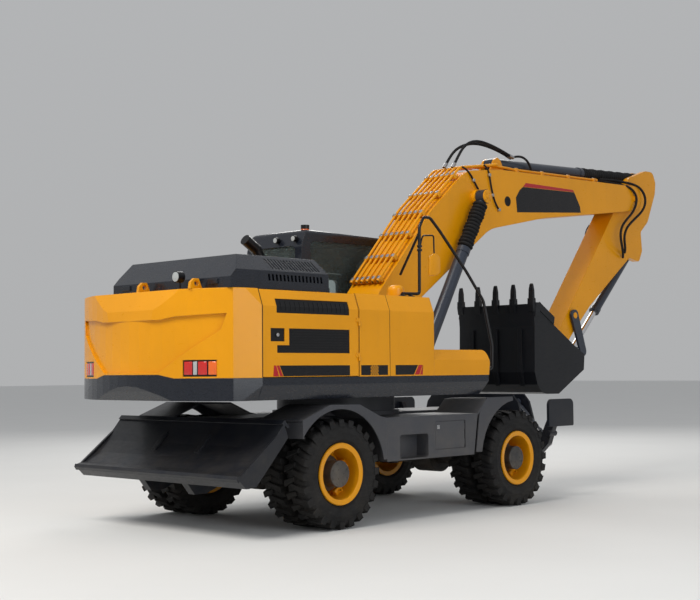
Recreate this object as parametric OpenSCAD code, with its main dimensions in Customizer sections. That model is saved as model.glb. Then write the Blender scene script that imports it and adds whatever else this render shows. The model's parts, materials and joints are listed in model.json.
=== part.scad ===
/* [Frame of reference] */
// Distance from the middle of the wheelbase forward to the origin
origin_x = 1550; // [1450:10:1650]

/* [Wheels and axles] */
// Distance between the axles
wheelbase = 2800; // [2700:10:2850]
// Outer radius of a tyre, over its tread bars
tyre_r = 527; // [515:1:535]
// Width of one tyre
tyre_w = 278; // [250:1:285]
// Distance from the machine's centre plane to the middle of an outer tyre
outer_tyre_y = 1130; // [1120:1:1140]
// Distance between the middles of twin tyres
twin_pitch = 320; // [310:1:330]
// Radius of a rim's flange
rim_r = 298; // [290:1:305]
// Radius of a hub
hub_r = 120; // [100:1:130]
// Distance from the centre plane to a steering kingpin
kingpin_y = 620; // [600:1:625]

/* [Chassis] */
// Half width of the chassis box
chassis_half_w = 380; // [340:1:390]
// Half width of the machine over its side boxes and house
half_w = 1250; // [1240:1:1255]
// Underside height of the side boxes
box_z0 = 605; // [590:1:630]
// Top height of the side boxes
box_z1 = 1040; // [1020:1:1050]
// Inner face of a side box, from the centre plane
box_inner_y = 640; // [600:1:680]
// Radius of the rear wheel arch
rear_arch_r = 615; // [600:1:625]
// Radius of the front wheel arch
front_arch_r = 640; // [630:1:650]
// Thickness of fender plates
fender_t = 16; // [10:1:20]

/* [House] */
// Swing axis, behind the middle of the wheelbase
swing_x = -200; // [-230:5:-180]
// Rear end of the counterweight
tail_x = -2975; // [-2990:5:-2950]
// Radius of the counterweight's rear face
tail_r = 2257; // [2200:1:2400]
// Lug height of a tyre
lug_h = 24; // [15:1:28]
// Underside height of the skirts
skirt_z0 = 1245; // [1240:1:1255]
// Height where the dark skirt meets the yellow body
body_z0 = 1450; // [1440:1:1460]
// Top height of the yellow body
body_z1 = 2260; // [2240:1:2290]
// Seam between counterweight and engine door
seam_1_x = -2400; // [-2420:1:-2380]
// Seam between engine door and tank panel
seam_2_x = -1140; // [-1160:1:-1120]
// Front end of the tall body on the right
tall_end_x = -10; // [-30:1:10]
// Front end of the low tool box on the right
low_end_x = 925; // [880:1:940]
// Top height of the low tool box
low_z1 = 1720; // [1700:1:1740]
// Top height of the engine hood
hood_z1 = 2580; // [2540:1:2600]

/* [Cab] */
// Rear face of the cab
cab_x0 = -390; // [-400:1:-380]
// Front face of the cab
cab_x1 = 1300; // [1260:1:1340]
// Inner side face of the cab
cab_y0 = 325; // [320:1:340]
// Top of the cab roof
cab_z1 = 3080; // [3060:1:3100]

/* [Boom and arm] */
// Centre plane of boom, arm and bucket, right of the machine's centre
boom_y = -150; // [-155:1:-145]
// Half width of the boom
boom_half_w = 250; // [240:1:252]
// Half width of the arm
arm_half_w = 155; // [145:1:158]
// Outer width of the bucket
bucket_w = 1160; // [1000:10:1180]
// Length of the arm between its pins
arm_l = 2670; // [2660:1:2680]
// Radius of the main hinge pins
pin_r = 45; // [38:1:48]

/* [Hidden] */
$fn = 48;
fit = 0.06;
seat = 0.3;
axle_z = tyre_r;
wheel_x = [wheelbase / 2, -wheelbase / 2];
inner_tyre_y = outer_tyre_y - twin_pitch;
disc_y = outer_tyre_y - twin_pitch / 2;
cab_y1 = half_w - 10;

foot_pin = [-10, 1865];
arm_pin = [5385, 3872];
boom_cyl_foot = [550, 1450];
boom_cyl_head = [1793, 3550];
arm_cyl_foot = [2440, 4050];
arm_axis = 229.42;
arm_cyl_head = on_arm(-635, 210);
bucket_pin = on_arm(arm_l, 0);
lever_pin = on_arm(arm_l - 451, -27);
link_top = on_arm(arm_l - 214, 415);
link_foot = on_arm(arm_l + 291, 240);
bucket_cyl_foot = on_arm(424, 632);
track_rod_x = 250;
track_rod_z = 100;
blade_pin = [-1880, 600];
blade_cyl_foot = [-1990, 960];
blade_cyl_head = [-2300, 640];
leg_pin = [800, 450];
leg_x0 = 2165;
leg_x1 = 2385;
leg_plate_x = [2202, 2282];
leg_cyl_x = 2333;
leg_cyl_foot = [-560, 1110];
leg_cyl_head = [-1010, 640];
engine_hinge = [seam_2_x - 6, -half_w - 9];
cabinet_hinge = [-1174, half_w + 9];
cab_hinge = [-177, cab_y1 + 9];
hood_hinge = [-1438, body_z1 + 12];
hood_hinge_y = [-560, 330];
hinge_z = [1600, 1940];
cab_hinge_z = [1700, 2300];

// A point of the arm from its distance along the arm's axis and outwards from it
function on_arm(s, t) = [
    arm_pin[0] + s * cos(arm_axis) - t * sin(arm_axis),
    arm_pin[1] + s * sin(arm_axis) + t * cos(arm_axis)];

// Points of an arc about c from angle a0 to a1
function arc(c, r, a0, a1, n = 10) = [for (i = [0:n]) [
    c[0] + r * cos(a0 + (a1 - a0) * i / n),
    c[1] + r * sin(a0 + (a1 - a0) * i / n)]];

// One rounded corner at p between its neighbours a and b
function corner(a, p, b, r, n = 5) =
    let (
        u = (a - p) / norm(a - p),
        v = (b - p) / norm(b - p),
        half = acos(u * v) / 2,
        m = (u + v) / norm(u + v),
        c = p + m * r / sin(half),
        s = p + u * r / tan(half),
        e = p + v * r / tan(half),
        a0 = atan2(s[1] - c[1], s[0] - c[0]),
        raw = atan2(e[1] - c[1], e[0] - c[0]) - a0,
        turn = raw > 180 ? raw - 360 : (raw < -180 ? raw + 360 : raw))
    arc(c, r, a0, a0 + turn, n);

// An outline from rows of x, z and corner radius
function rounded(rows) = [for (i = [0:len(rows) - 1])
    let (
        k = len(rows),
        a = rows[(i + k - 1) % k],
        p = rows[i],
        b = rows[(i + 1) % k])
    each (p[2] == 0 ? [[p[0], p[1]]]
        : corner([a[0], a[1]], [p[0], p[1]], [b[0], b[1]], p[2]))];

function dist(a, b) = norm(b - a);
function angle_of(a, b) = atan2(b[1] - a[1], b[0] - a[0]);

// An outline in x and z, extruded from y0 to y1
module slab(points, y0, y1) {
    translate([0, y1, 0])
        rotate([90, 0, 0])
            linear_extrude(y1 - y0)
                polygon(points);
}

// An outline in y and z, extruded from x0 to x1
module across(points, x0, x1) {
    translate([x0, 0, 0])
        rotate([90, 0, 90])
            linear_extrude(x1 - x0)
                polygon(points);
}

// An outline in x and y, extruded from z0 to z1
module plan(points, z0, z1) {
    translate([0, 0, z0])
        linear_extrude(z1 - z0)
            polygon(points);
}

module box(x0, x1, y0, y1, z0, z1) {
    translate([x0, y0, z0])
        cube([x1 - x0, y1 - y0, z1 - z0]);
}

// A round bar along y about the point c of x and z
module bar_y(c, r, y0, y1) {
    translate([c[0], y1, c[1]])
        rotate([90, 0, 0])
            cylinder(r = r, h = y1 - y0);
}

// A round bar along x about the point c of y and z
module bar_x(c, r, x0, x1) {
    translate([x0, c[0], c[1]])
        rotate([0, 90, 0])
            cylinder(r = r, h = x1 - x0);
}

module bar_z(c, r, z0, z1) {
    translate([c[0], c[1], z0])
        cylinder(r = r, h = z1 - z0);
}

// Children drawn along +x are placed at p and turned up by a in the x-z plane
module aim(p, a) {
    translate([p[0], 0, p[1]])
        rotate([0, -a, 0])
            children();
}

module both_sides() {
    children();
    mirror([0, 1, 0])
        children();
}

// Half of a door hinge with the pin, its leaf running towards dir along x onto a face at y
module hinge_pin(c, face_y, dir, z) {
    bar_z(c, 8, z, z + 38);
    bar_z(c, 4, z + 37, z + 80);
    box(min(c[0], c[0] + dir * 36), max(c[0], c[0] + dir * 36),
        min(face_y, c[1]), max(face_y, c[1]), z, z + 38);
}

// A tube along points, its pieces lapped at the bends
module tube(points, r, sides = 12) {
    n = len(points) - 1;
    for (i = [0:n - 1]) {
        v = points[i + 1] - points[i];
        from = i == 0 ? 0 : -r / 3;
        to = norm(v) + (i == n - 1 ? 0 : r / 3);
        translate(points[i])
            rotate([0, acos(v[2] / norm(v)), atan2(v[1], v[0])])
                translate([0, 0, from])
                    cylinder(r = r, h = to - from, $fn = sides);
    }
}

// Half of the hood's hinge that stands on the cover, at y
module cover_hinge(y) {
    bar_y(hood_hinge, 10, y, y + 30);
    bar_y(hood_hinge, 5, y + 29, y + 75);
    box(hood_hinge[0] - 8, hood_hinge[0] + 8, y, y + 30, body_z1 - 10, hood_hinge[1]);
}

// Half of the hood's hinge on the hood's front face
module hood_eye(y) {
    difference() {
        union() {
            bar_y(hood_hinge, 10, y + 30.3, y + 75);
            box(hood_hinge[0] - 13, hood_hinge[0], y + 30.3, y + 75, hood_hinge[1] - 8, hood_hinge[1] + 10);
        }
        bar_y(hood_hinge, 5 + fit, y, y + 90);
    }
}

// Half of a door hinge with the bore
module hinge_bore(c, face_y, dir, z) {
    difference() {
        union() {
            bar_z(c, 8, z + 38.3, z + 80);
            box(min(c[0], c[0] + dir * 36), max(c[0], c[0] + dir * 36),
                min(face_y, c[1]), max(face_y, c[1]), z + 38.3, z + 80);
        }
        bar_z(c, 4 + fit, z, z + 90);
    }
}

module placed() {
    translate([-origin_x, 0, 0])
        children();
}

module on_boom_plane() {
    translate([-origin_x, boom_y, 0])
        children();
}

// Cylinder barrel along +x from its foot eye, with a bore for its rod
module barrel(l, r, rod_r, eye_r, eye_w, eye_pin_r) {
    difference() {
        union() {
            bar_x([0, 0], r, eye_r + 40, l);
            bar_x([0, 0], min(r - 6, eye_w / 2 - 2), eye_r * 0.6, eye_r + 41);
            bar_x([0, 0], r + 9, l - 70, l - 1);
            bar_y([0, 0], eye_r, -eye_w / 2, eye_w / 2);
        }
        bar_x([0, 0], rod_r + fit, eye_r + 52, l + 1);
        bar_y([0, 0], eye_pin_r + fit, -eye_w, eye_w);
    }
}

// Rod along +x, from inside its barrel to its eye at l
module rod(x0, l, rod_r, eye_r, eye_w) {
    bar_x([0, 0], rod_r, x0, l - eye_r * 0.6);
    translate([l, 0, 0])
        bar_y([0, 0], eye_r, -eye_w / 2, eye_w / 2);
}

chassis_profile = [
    [-1900, 720], [-1950, 760], [-1950, 1055], [1950, 1055], [1950, 740], [1880, 700],
    [1750, 800], [1050, 800], [900, 620], [-900, 620], [-1050, 800], [-1700, 800]];

module chassis_frame() {
    placed() color("dimgray") {
        difference() {
            union() {
                slab(chassis_profile, -chassis_half_w, chassis_half_w);
                bar_z([swing_x, 0], 690, box_z1 + seat, 1085);
                for (x = [-640, 420])
                    box(x, x + 120, -box_inner_y + seat, box_inner_y - seat, 700, 960);
                both_sides() {
                    for (y = [255, 376])
                        slab([[-1960, 540], [-1960, 700], [-1900, 770], [-1780, 810], [-1780, 760], [-1820, 540]],
                            y, y + 30);
                    bar_y(blade_pin, pin_r, 255, 406);
                    for (y = [150, 228])
                        slab([[-1940, 900], [-2010, 910], [-2035, 960], [-2010, 1005], [-1940, 1040]], y, y + 22);
                }
            }
            bar_z([swing_x, 0], 420, 640, 1100);
            both_sides()
                bar_y(blade_cyl_foot, 52, 173, 227);
        }
        both_sides()
            bar_y(blade_cyl_foot, 26, 150, 250);
        difference() {
            bar_z([swing_x, 0], 640, 1085, 1254.7);
            bar_z([swing_x, 0], 520, 1080, 1260);
        }
    }
}

module side_box() {
    front_slope = 70;
    difference() {
        slab([[-750, box_z0], [-750, box_z1], [700, box_z1], [700 - front_slope, box_z0]],
            -half_w, -box_inner_y);
        slab(rounded([[-556, 620, 30], [-556, 860, 30], [-118, 860, 30], [-118, 620, 30]]),
            -half_w - 1, -half_w + 160);
        box(2, 463, -half_w - 1, -half_w + 420, 702, 962);
        box(-12, 486, -half_w - 1, -half_w + 20, 688, 976);
    }
}

module side_boxes() {
    placed() color("dimgray") {
        side_box();
        mirror([0, 1, 0])
            slab([[-750, box_z0], [-750, box_z1], [700, box_z1], [630, box_z0]], -half_w, -box_inner_y);
        bar_z([469, -half_w + 9], 6, 688, 976);
    }
}

module locker_door() {
    placed() color("dimgray")
        difference() {
            union() {
                box(-9.5, 460, -half_w, -half_w + 18, 690.5, 973.5);
                bar_z([469, -half_w + 9], 9.5, 720, 780);
                bar_z([469, -half_w + 9], 9.5, 880, 940);
                box(455, 469, -half_w + 4, -half_w + 14, 720, 780);
                box(455, 469, -half_w + 4, -half_w + 14, 880, 940);
            }
            bar_z([469, -half_w + 9], 6 + fit, 600, 1000);
        }
}

rear_fender_top = [[-1900, 880], [-1900, 1054], [-1536, 1188], [-1134, 1180], [-848, 1060], [-750, 1040]];

module rear_fender() {
    difference() {
        slab(concat(rear_fender_top, [[-750, 630], [-790, 630]]), -half_w, -half_w + fender_t);
        bar_y([wheel_x[1], axle_z], rear_arch_r, -half_w - 1, -half_w + 60);
    }
    n = len(rear_fender_top) - 1;
    slab(concat([for (i = [0:n]) rear_fender_top[i]],
        [for (i = [n:-1:0]) rear_fender_top[i] - (i == 0 ? [-fender_t, 0] : [0, fender_t])]),
        -half_w, -box_inner_y - 20);
}

module rear_fenders() {
    placed() color("dimgray") both_sides() rear_fender();
}

module front_fender() {
    slab(concat([[1331, 1190], [860, 1190], [734, 1042], [669, 628]],
        arc([wheel_x[0], axle_z], front_arch_r, 171, 96, 8)), -half_w, -half_w + fender_t);
    slab([[1331, 1190], [860, 1190], [700, 1040], [700, 1020], [866, 1174], [1331, 1174]],
        -half_w, -box_inner_y - 20);
    for (x = [880:150:1180])
        fender_step(x);
    across([[-half_w + 3, 1189], [-half_w + 3, 1206], [-half_w + 15, 1206], [-half_w + 15, 1189]], 860, 1331);
}

// A raised anti-slip bar over the fender's top
module fender_step(x) {
    box(x, x + 110, -half_w + 40, -box_inner_y - 60, 1189, 1196);
}

module front_fenders() {
    placed() color("dimgray") both_sides() front_fender();
}

// Tyre carcass with flat sides all round: half section, as radius and distance from the middle
carcass_r = tyre_r - lug_h;
tyre_sides = 24;
bead_r = rim_r - 40;
function half_section(tread_r) = let (w = tyre_w / 2) [[rim_r + 60, w], [tread_r - 46, w - 4],
    [tread_r, w - 30]];

module turned(points) {
    rotate([90, 0, 0])
        rotate_extrude($fn = 96)
            polygon(points);
}

// A disc of the tyre's flat sides, outwards along the wheel's axis from y
module sided_disc(r, y, t) {
    k = r / cos(180 / tyre_sides);
    translate([0, -y, 0])
        rotate([90, 0, 0])
            linear_extrude(height = t)
                polygon([for (i = [0:tyre_sides - 1]) let (a = 360 * (i + 0.5) / tyre_sides) [k * sin(a), k * cos(a)]]);
}

module carcass(tread_r) {
    w = tyre_w / 2;
    difference() {
        hull()
            for (q = half_section(tread_r)) {
                sided_disc(q[0], -q[1], 1);
                sided_disc(q[0], q[1] - 1, 1);
            }
        sided_disc(bead_r, -w - 1, 2 * w + 2);
        for (side = [-1, 1])
            hull() {
                sided_disc(bead_r, side * (w - 48) - 0.5, 1);
                sided_disc(rim_r + 60, side * (w + 0.5) - 0.5, 1);
            }
    }
}

// A shoulder lug on one flat, skewed towards the tyre's middle
module tyre_lug(side) {
    w = tyre_w / 2;
    linear_extrude(height = tyre_r - carcass_r + 30)
        polygon([for (q = [[-34, w - 22], [34, w - 22], [52, -14], [-8, -14]]) [q[0], side * q[1]]]);
}

// Twin tyres of one right-hand corner, outwards to -y, the hidden inner one with every third lug
module twin_tyres(x) {
    placed() color([0.1, 0.1, 0.11])
        for (y = [outer_tyre_y, inner_tyre_y])
            translate([x, -y, axle_z]) {
                carcass(carcass_r);
                for (i = [0:(y == inner_tyre_y ? 3 : 1):tyre_sides - 1])
                    rotate([0, 180 + 360 * i / tyre_sides, 0])
                        translate([0, 0, carcass_r - 30])
                            tyre_lug(i % 2 == 0 ? 1 : -1);
            }
}

module twin_rims(x) {
    w = tyre_w / 2;
    rb = rim_r - 40 - seat;
    placed() color("orange")
        translate([x, 0, axle_z])
            difference() {
                turned([
                    [150, disc_y - 14], [rb - 14, disc_y - 14], [rb - 14, inner_tyre_y - w + 20],
                    [rim_r - 6, inner_tyre_y - w + 12], [rim_r, inner_tyre_y - w + 26],
                    [rb, inner_tyre_y - w + 46], [rb, inner_tyre_y + w - 46],
                    [rim_r, inner_tyre_y + w - 28], [rim_r, outer_tyre_y - w + 28],
                    [rb, outer_tyre_y - w + 46], [rb, outer_tyre_y + w - 46],
                    [rim_r, outer_tyre_y + w - 26], [rim_r - 6, outer_tyre_y + w - 12],
                    [rb - 14, outer_tyre_y + w - 20], [rb - 14, disc_y + 14],
                    [170, disc_y + 14], [170, disc_y + 70], [hub_r, disc_y + 90],
                    [hub_r, half_w - 15], [0, half_w - 15], [0, disc_y - 14]]);
                rotate([90, 0, 0])
                    cylinder(r = 100 + fit, h = disc_y - 6);
            }
}

module tyres_front_right() twin_tyres(wheel_x[0]);
module tyres_front_left() mirror([0, 1, 0]) twin_tyres(wheel_x[0]);
module tyres_rear_right() twin_tyres(wheel_x[1]);
module tyres_rear_left() mirror([0, 1, 0]) twin_tyres(wheel_x[1]);
module rims_front_right() twin_rims(wheel_x[0]);
module rims_front_left() mirror([0, 1, 0]) twin_rims(wheel_x[0]);
module rims_rear_right() twin_rims(wheel_x[1]);
module rims_rear_left() mirror([0, 1, 0]) twin_rims(wheel_x[1]);

module rear_axle() {
    placed() color("dimgray")
        translate([wheel_x[1], 0, axle_z]) {
            bar_y([0, 0], 100, -disc_y + 7, disc_y - 7);
            bar_y([0, 0], 150, -720, 720);
            bar_y([0, 0], 210, -150, 150);
            for (y = [-330, 230])
                box(-110, 110, y, y + 100, 0, 800 - axle_z - seat);
        }
}

module front_axle() {
    placed() color("dimgray")
        translate([wheel_x[0], 0, axle_z]) {
            difference() {
                union() {
                    bar_y([0, 0], 85, -600, 600);
                    bar_y([0, 0], 115, -520, 520);
                    bar_y([0, 0], 205, -150, 150);
                    both_sides()
                        bar_z([0, kingpin_y], 68, -95, 95);
                }
                both_sides()
                    bar_z([0, kingpin_y], 30 + fit, -100, 100);
            }
            difference() {
                box(-130, 130, -110, 110, 150, 800 - axle_z - seat);
                bar_y([0, 0], 206, -160, 160);
            }
            difference() {
                union() {
                    for (y = [-300, 270])
                        box(-track_rod_x, -60, y, y + 30, 60, track_rod_z + 30);
                    bar_y([-track_rod_x, track_rod_z], 42, -300, 300);
                }
                bar_y([-track_rod_x, track_rod_z], 22 + fit, -310, 310);
            }
        }
}

module steering_rod() {
    placed() color("silver")
        translate([wheel_x[0] - track_rod_x, 0, axle_z + track_rod_z]) {
            bar_y([0, 0], 22, -520, 520);
            both_sides()
                bar_z([0, 520], 34, -24, 24);
        }
}

// Right-hand steering knuckle about its kingpin
module knuckle() {
    placed() color("dimgray")
        translate([wheel_x[0], 0, axle_z]) {
            for (s = [-1, 1]) {
                translate([0, 0, s * 115.3 - 20])
                    cylinder_pad(s);
            }
            box(-70, 70, -760, -700, -135.3, 135.3);
            bar_y([0, 0], 100, -disc_y + 7, -700);
            box(-track_rod_x - 20, 0, -kingpin_y + 30, -kingpin_y + 60, track_rod_z + 25.3, track_rod_z + 55);
            bar_z([-track_rod_x, -540], 34, track_rod_z + 25.3, track_rod_z + 60);
        }
}

module cylinder_pad(s) {
    box(-70, 70, -760, -kingpin_y, 0, 40);
    bar_z([0, -kingpin_y], 70, 0, 40);
    translate([0, -kingpin_y, s > 0 ? -60 : 40])
        cylinder(r = 30, h = 60);
}

module knuckle_right() knuckle();
module knuckle_left() mirror([0, 1, 0]) knuckle();

module drivetrain() {
    placed() color("gray") {
        box(-420, 120, -230, 230, 330, 619.7);
        bar_x([0, axle_z], 45, wheel_x[1] + 214, -420);
        bar_x([0, axle_z], 45, 120, wheel_x[0] - 214);
    }
}

module outrigger_frame() {
    placed() color("dimgray") {
        both_sides() {
            for (x = [leg_x0, leg_x1])
                across([[0, 1210], [620, 1210], [700, 1120], [860, 560], [880, 450], [840, 390], [740, 390],
                    [560, 620], [0, 620]], x, x + 30);
            bar_x(leg_pin, pin_r, leg_x0, leg_x1 + 30);
            bar_x([-leg_cyl_foot[0], leg_cyl_foot[1]], 28, leg_cyl_x - 60, leg_x1 + 30);
        }
        box(leg_x0, leg_x1 + 30, -480, 480, 620, 660);
        box(leg_x0, leg_x1 + 30, -480, 480, 1170, 1210);
        box(1950, leg_x0, -360, 360, 740, 1055);
    }
}

leg_profile = [[760, 400], [850, 400], [1100, 640], [1180, 860], [1215, 900], [1215, 1100], [1170, 1100],
    [1130, 1000], [1060, 860], [960, 640], [760, 520]];

module leg() {
    placed() color("dimgray")
        difference() {
            union() {
                across([for (p = leg_profile) [-p[0], p[1]]], leg_plate_x[0], leg_plate_x[1]);
                bar_x([-leg_pin[0], leg_pin[1]], 90, leg_x0 + 35, leg_plate_x[1] + 8);
                slab(rounded([[2020, 845, 20], [2020, 1160, 70], [2510, 1160, 70], [2510, 845, 20]]), -half_w, -1215);
                bar_x([-1120, 760], 34, leg_plate_x[0] - 30, leg_plate_x[1] + 30);
                bar_x(leg_cyl_head, 52, leg_plate_x[0], leg_plate_x[1]);
            }
            bar_x([-leg_pin[0], leg_pin[1]], pin_r + fit, 2100, 2400);
        }
}

module leg_right() leg();
module leg_left() mirror([0, 1, 0]) leg();

module leg_cyl_frame() {
    translate([-origin_x + leg_cyl_x, leg_cyl_foot[0], leg_cyl_foot[1]])
        rotate([angle_of(leg_cyl_foot, leg_cyl_head), 0, 0])
            rotate([0, 0, 90])
                children();
}

module leg_barrel() {
    color("slategray") leg_cyl_frame() barrel(520, 36, 22, 44, 60, 28);
}

module leg_rod() {
    l = dist(leg_cyl_foot, leg_cyl_head);
    color("silver") leg_cyl_frame() rod(150, l, 22, 40, 55);
}

module leg_barrel_right() leg_barrel();
module leg_barrel_left() mirror([0, 1, 0]) leg_barrel();
module leg_rod_right() leg_rod();
module leg_rod_left() mirror([0, 1, 0]) leg_rod();

// Blade face from its top edge to its lower lip
blade_face = [[-2150, 1020], [-2225, 930], [-2330, 815], [-2460, 700], [-2600, 610], [-2690, 585]];

module blade() {
    n = len(blade_face) - 1;
    placed() color("dimgray") {
        slab(concat(blade_face, [[-2690, 560], [-2600, 470], [-2560, 470], [-2440, 640], [-2310, 770],
            [-2200, 890], [-2130, 1005]]), -half_w, half_w);
        slab([[-2150, 1020], [-2168, 1024], [-2132, 1062], [-2072, 1000], [-2090, 985], [-2126, 1012], [-2142, 995]],
            -half_w, half_w);
        slab([[-2690, 585], [-2700, 590], [-2712, 560], [-2690, 528], [-2672, 545]], -half_w, half_w);
        both_sides() {
            slab([[-2130, 1000], [-2690, 560], [-2600, 470], [-2480, 480], [-2090, 900]],
                half_w - 30, half_w);
            slab([[-2246, 906], [-2262, 918], [-2420, 752], [-2406, 738]], 300, 360);
            difference() {
                union() {
                    slab([[-2600, 520], [-2460, 650], [-2330, 740], [-2250, 700], [-1970, 690],
                        [-1800, 640], [-1800, 560], [-1970, 500], [-2330, 360], [-2470, 360]], 285.3, 375.7);
                    bar_y(blade_pin, 80, 285.3, 375.7);
                }
                bar_y(blade_pin, pin_r + fit, 280, 380);
            }
            for (y = [150, 228])
                slab([[-2450, 640], [-2320, 775], [-2270, 690], [-2262, 640], [-2300, 595], [-2350, 600]], y, y + 22);
        }
    }
}

module blade_barrels() {
    placed() color("slategray")
        both_sides() translate([0, 200, 0]) {
            aim(blade_cyl_foot, angle_of(blade_cyl_foot, blade_cyl_head))
                barrel(330, 40, 24, 46, 50, 26);
        }
}

module blade_rods() {
    l = dist(blade_cyl_foot, blade_cyl_head);
    placed() color("silver")
        both_sides() translate([0, 200, 0])
            aim(blade_cyl_foot, angle_of(blade_cyl_foot, blade_cyl_head))
                rod(100, l, 24, 40, 50);
}

bracket_profile = [[-520, 1440], [-180, 1900], [-120, 1980], [-20, 2010], [80, 1990], [130, 1900],
    [440, 1500], [520, 1545], [600, 1535], [645, 1480], [640, 1400], [560, 1300], [-520, 1300]];

module upper_frame() {
    placed() color([0.25, 0.27, 0.3]) {
        bar_z([swing_x, 0], 660, 1255, 1300);
        difference() {
            box(seam_1_x, 500, -half_w + 120, half_w - 120, 1400, body_z0);
            box(390, 510, boom_y - 500, boom_y + 470, 1390, 1460);
        }
        box(500, cab_x1 - 20, cab_y0 + 10, half_w - 120, 1400, body_z0);
        box(500, low_end_x - 60, -half_w + 120, boom_y - 510, 1400, body_z0);
        for (x = [cab_x0 + 80, cab_x1 - 180])
            for (y = [cab_y0 + 80, cab_y1 - 180])
                bar_z([x, y], 50, body_z0, body_z0 + 10);
        translate([0, boom_y, 0])
            both_sides() {
                slab(bracket_profile, boom_half_w + 12, boom_half_w + 60);
                slab([[300, 1300], [300, 1449], [440, 1500], [520, 1545], [600, 1535], [645, 1480],
                    [640, 1400], [560, 1300]], 432, 460);
                bar_y(boom_cyl_foot, pin_r, boom_half_w + 12, 460);
            }
        box(300, 560, boom_y - 460, boom_y + 460, 1280, 1340);
        translate([0, boom_y, 0])
            bar_y(foot_pin, pin_r, -boom_half_w - 60, boom_half_w + 60);
        for (y = [-360, 260])
            box(seam_1_x + 2, 300, y + boom_y / 2, y + boom_y / 2 + 100, 1300, 1400);
    }
}

// Plan of the house's rear, in x and y, drawn in by inset
tail_corner_y = 1150;
function rear_plan(inset = 0) = let (
    r = tail_r - inset,
    a = asin((tail_corner_y - inset) / r)) concat(
    [[seam_1_x, -half_w + inset]], arc([tail_x + tail_r, 0], r, 180 + a, 180 - a, 16),
    [[seam_1_x, half_w - inset]]);

skirt_section = [[half_w, body_z0], [half_w, 1380], [half_w - 20, 1330], [half_w - 70, skirt_z0],
    [half_w - 120, skirt_z0], [half_w - 120, body_z0]];

// Height of the yellow's lower edge at the middle, over the dark wedge
wedge = [[-600, body_z0 - 1], [600, body_z0 - 1], [600, body_z0], [420, body_z0 + 34], [-420, body_z0 + 34],
    [-600, body_z0]];

module skirts() {
    placed() color([0.2, 0.22, 0.26]) {
        both_sides() {
            intersection() {
                across(skirt_section, seam_1_x, low_end_x - 25);
                slab([[seam_1_x, body_z0], [low_end_x - 25, body_z0], [low_end_x - 25, 1390],
                    [low_end_x - 105, skirt_z0], [seam_1_x, skirt_z0]], 0, half_w);
            }
        }
        intersection() {
            plan(rear_plan(), skirt_z0, body_z0);
            slab([[seam_1_x, skirt_z0], [tail_x + 75, skirt_z0], [tail_x + 22, 1330], [tail_x, 1380],
                [tail_x, body_z0], [seam_1_x, body_z0]], -half_w, half_w);
            across([[-half_w, body_z0], [-half_w, 1380], [-half_w + 70, skirt_z0], [half_w - 70, skirt_z0],
                [half_w, 1380], [half_w, body_z0]], tail_x, seam_1_x);
        }
        intersection() {
            plan(rear_plan(), body_z0 - 1, body_z0 + 60);
            across(wedge, tail_x, seam_1_x);
        }
    }
}

// Facets pressed into the counterweight's rear face, in y and z
tail_panel = [[-1040, 1880], [-1095, 2030], [-600, 2010], [-440, 1985], [440, 1985], [600, 2010], [1095, 2030],
    [1040, 1880], [420, 1500], [-420, 1500]];
lifting_eye = [-2770, 400];

module counterweight() {
    placed() color("orange") {
        difference() {
            intersection() {
                plan(rear_plan(), body_z0, body_z1);
                slab([[seam_1_x, body_z0], [tail_x, body_z0], [tail_x + 30, 2080], [tail_x + 100, body_z1],
                    [seam_1_x, body_z1]], -half_w, half_w);
                across([[-half_w, body_z0], [-half_w, 2100], [-half_w + 60, body_z1], [half_w - 60, body_z1],
                    [half_w, 2100], [half_w, body_z0]], tail_x, seam_1_x);
            }
            across(wedge, tail_x - 1, seam_1_x + 1);
            difference() {
                across(tail_panel, tail_x - 1, -2600);
                plan(rear_plan(26), body_z0, body_z1);
            }
            both_sides()
                across([[690, 1465], [1120, 1465], [1120, 1615], [690, 1615]], tail_x - 1, -2790 + 60);
            for (y = [-lifting_eye[1], lifting_eye[1]])
                bar_z([lifting_eye[0], y], 30, body_z1 - 90, body_z1 + 1);
        }
        for (y = [-770, 0])
            difference() {
                slab([[-2855, body_z1 - 1], [-2845, body_z1 + 60], [-2805, body_z1 + 95], [-2755, body_z1 + 95],
                    [-2712, body_z1 - 1]], y - 18, y + 18);
                bar_y([-2783, body_z1 + 50], 24, y - 20, y + 20);
            }
    }
}

// Tail lamps, work lamps and the beacon
module lamps() {
    placed() color([0.1, 0.1, 0.1]) {
        both_sides() {
            difference() {
                across([[690, 1465], [1120, 1465], [1120, 1615], [690, 1615]], tail_x + 10, -2790 + 60);
                difference() {
                    across([[680, 1460], [1130, 1460], [1130, 1620], [680, 1620]], tail_x - 1, -2500);
                    plan(rear_plan(8), 1400, 1700);
                }
            }
        }
        bar_z([-2790, -560], 9, body_z1, body_z1 + 70);
        intersection() {
            bar_x([-560, body_z1 + 118], 52, -2840, -2770);
            box(-2850, -2700, -612, -508, body_z1 + 66, body_z1 + 170);
        }
        for (y = [cab_y0 + 105, cab_y0 + 395])
            bar_x([y, 2975], 34, cab_x0 - 28, cab_x0 + 20);
        bar_z([cab_x0 + 140, cab_y0 + 85], 48, cab_z1, cab_z1 + 56);
    }
}

module engine_block() {
    placed() color("gray") {
        box(-2330, -1560, -620, 480, 1480, 2180);
        for (y = [-500, 300])
            box(-2250, -1650, y, y + 100, body_z0, 1480);
    }
}

module right_tanks() {
    inner = boom_y - 500;
    placed() color("orange")
        difference() {
            across([[-half_w, body_z0], [-half_w, 2100], [-half_w + 60, body_z1], [inner, body_z1],
                [inner, body_z0]], seam_2_x, tall_end_x);
            box(-694, -690, -half_w - 1, -half_w + 8, body_z0 - 1, 2100);
        }
    placed() color("orange")
        translate([-150, -850, body_z1 - 1])
            rotate_extrude()
                polygon(concat([[0, 0], [90, 0], [90, 90]], arc([40, 90], 50, 0, 90, 5), [[0, 140]]));
    placed() color("orange")
        for (z = hinge_z)
            hinge_pin(engine_hinge, -half_w, 1, z);
}

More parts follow.
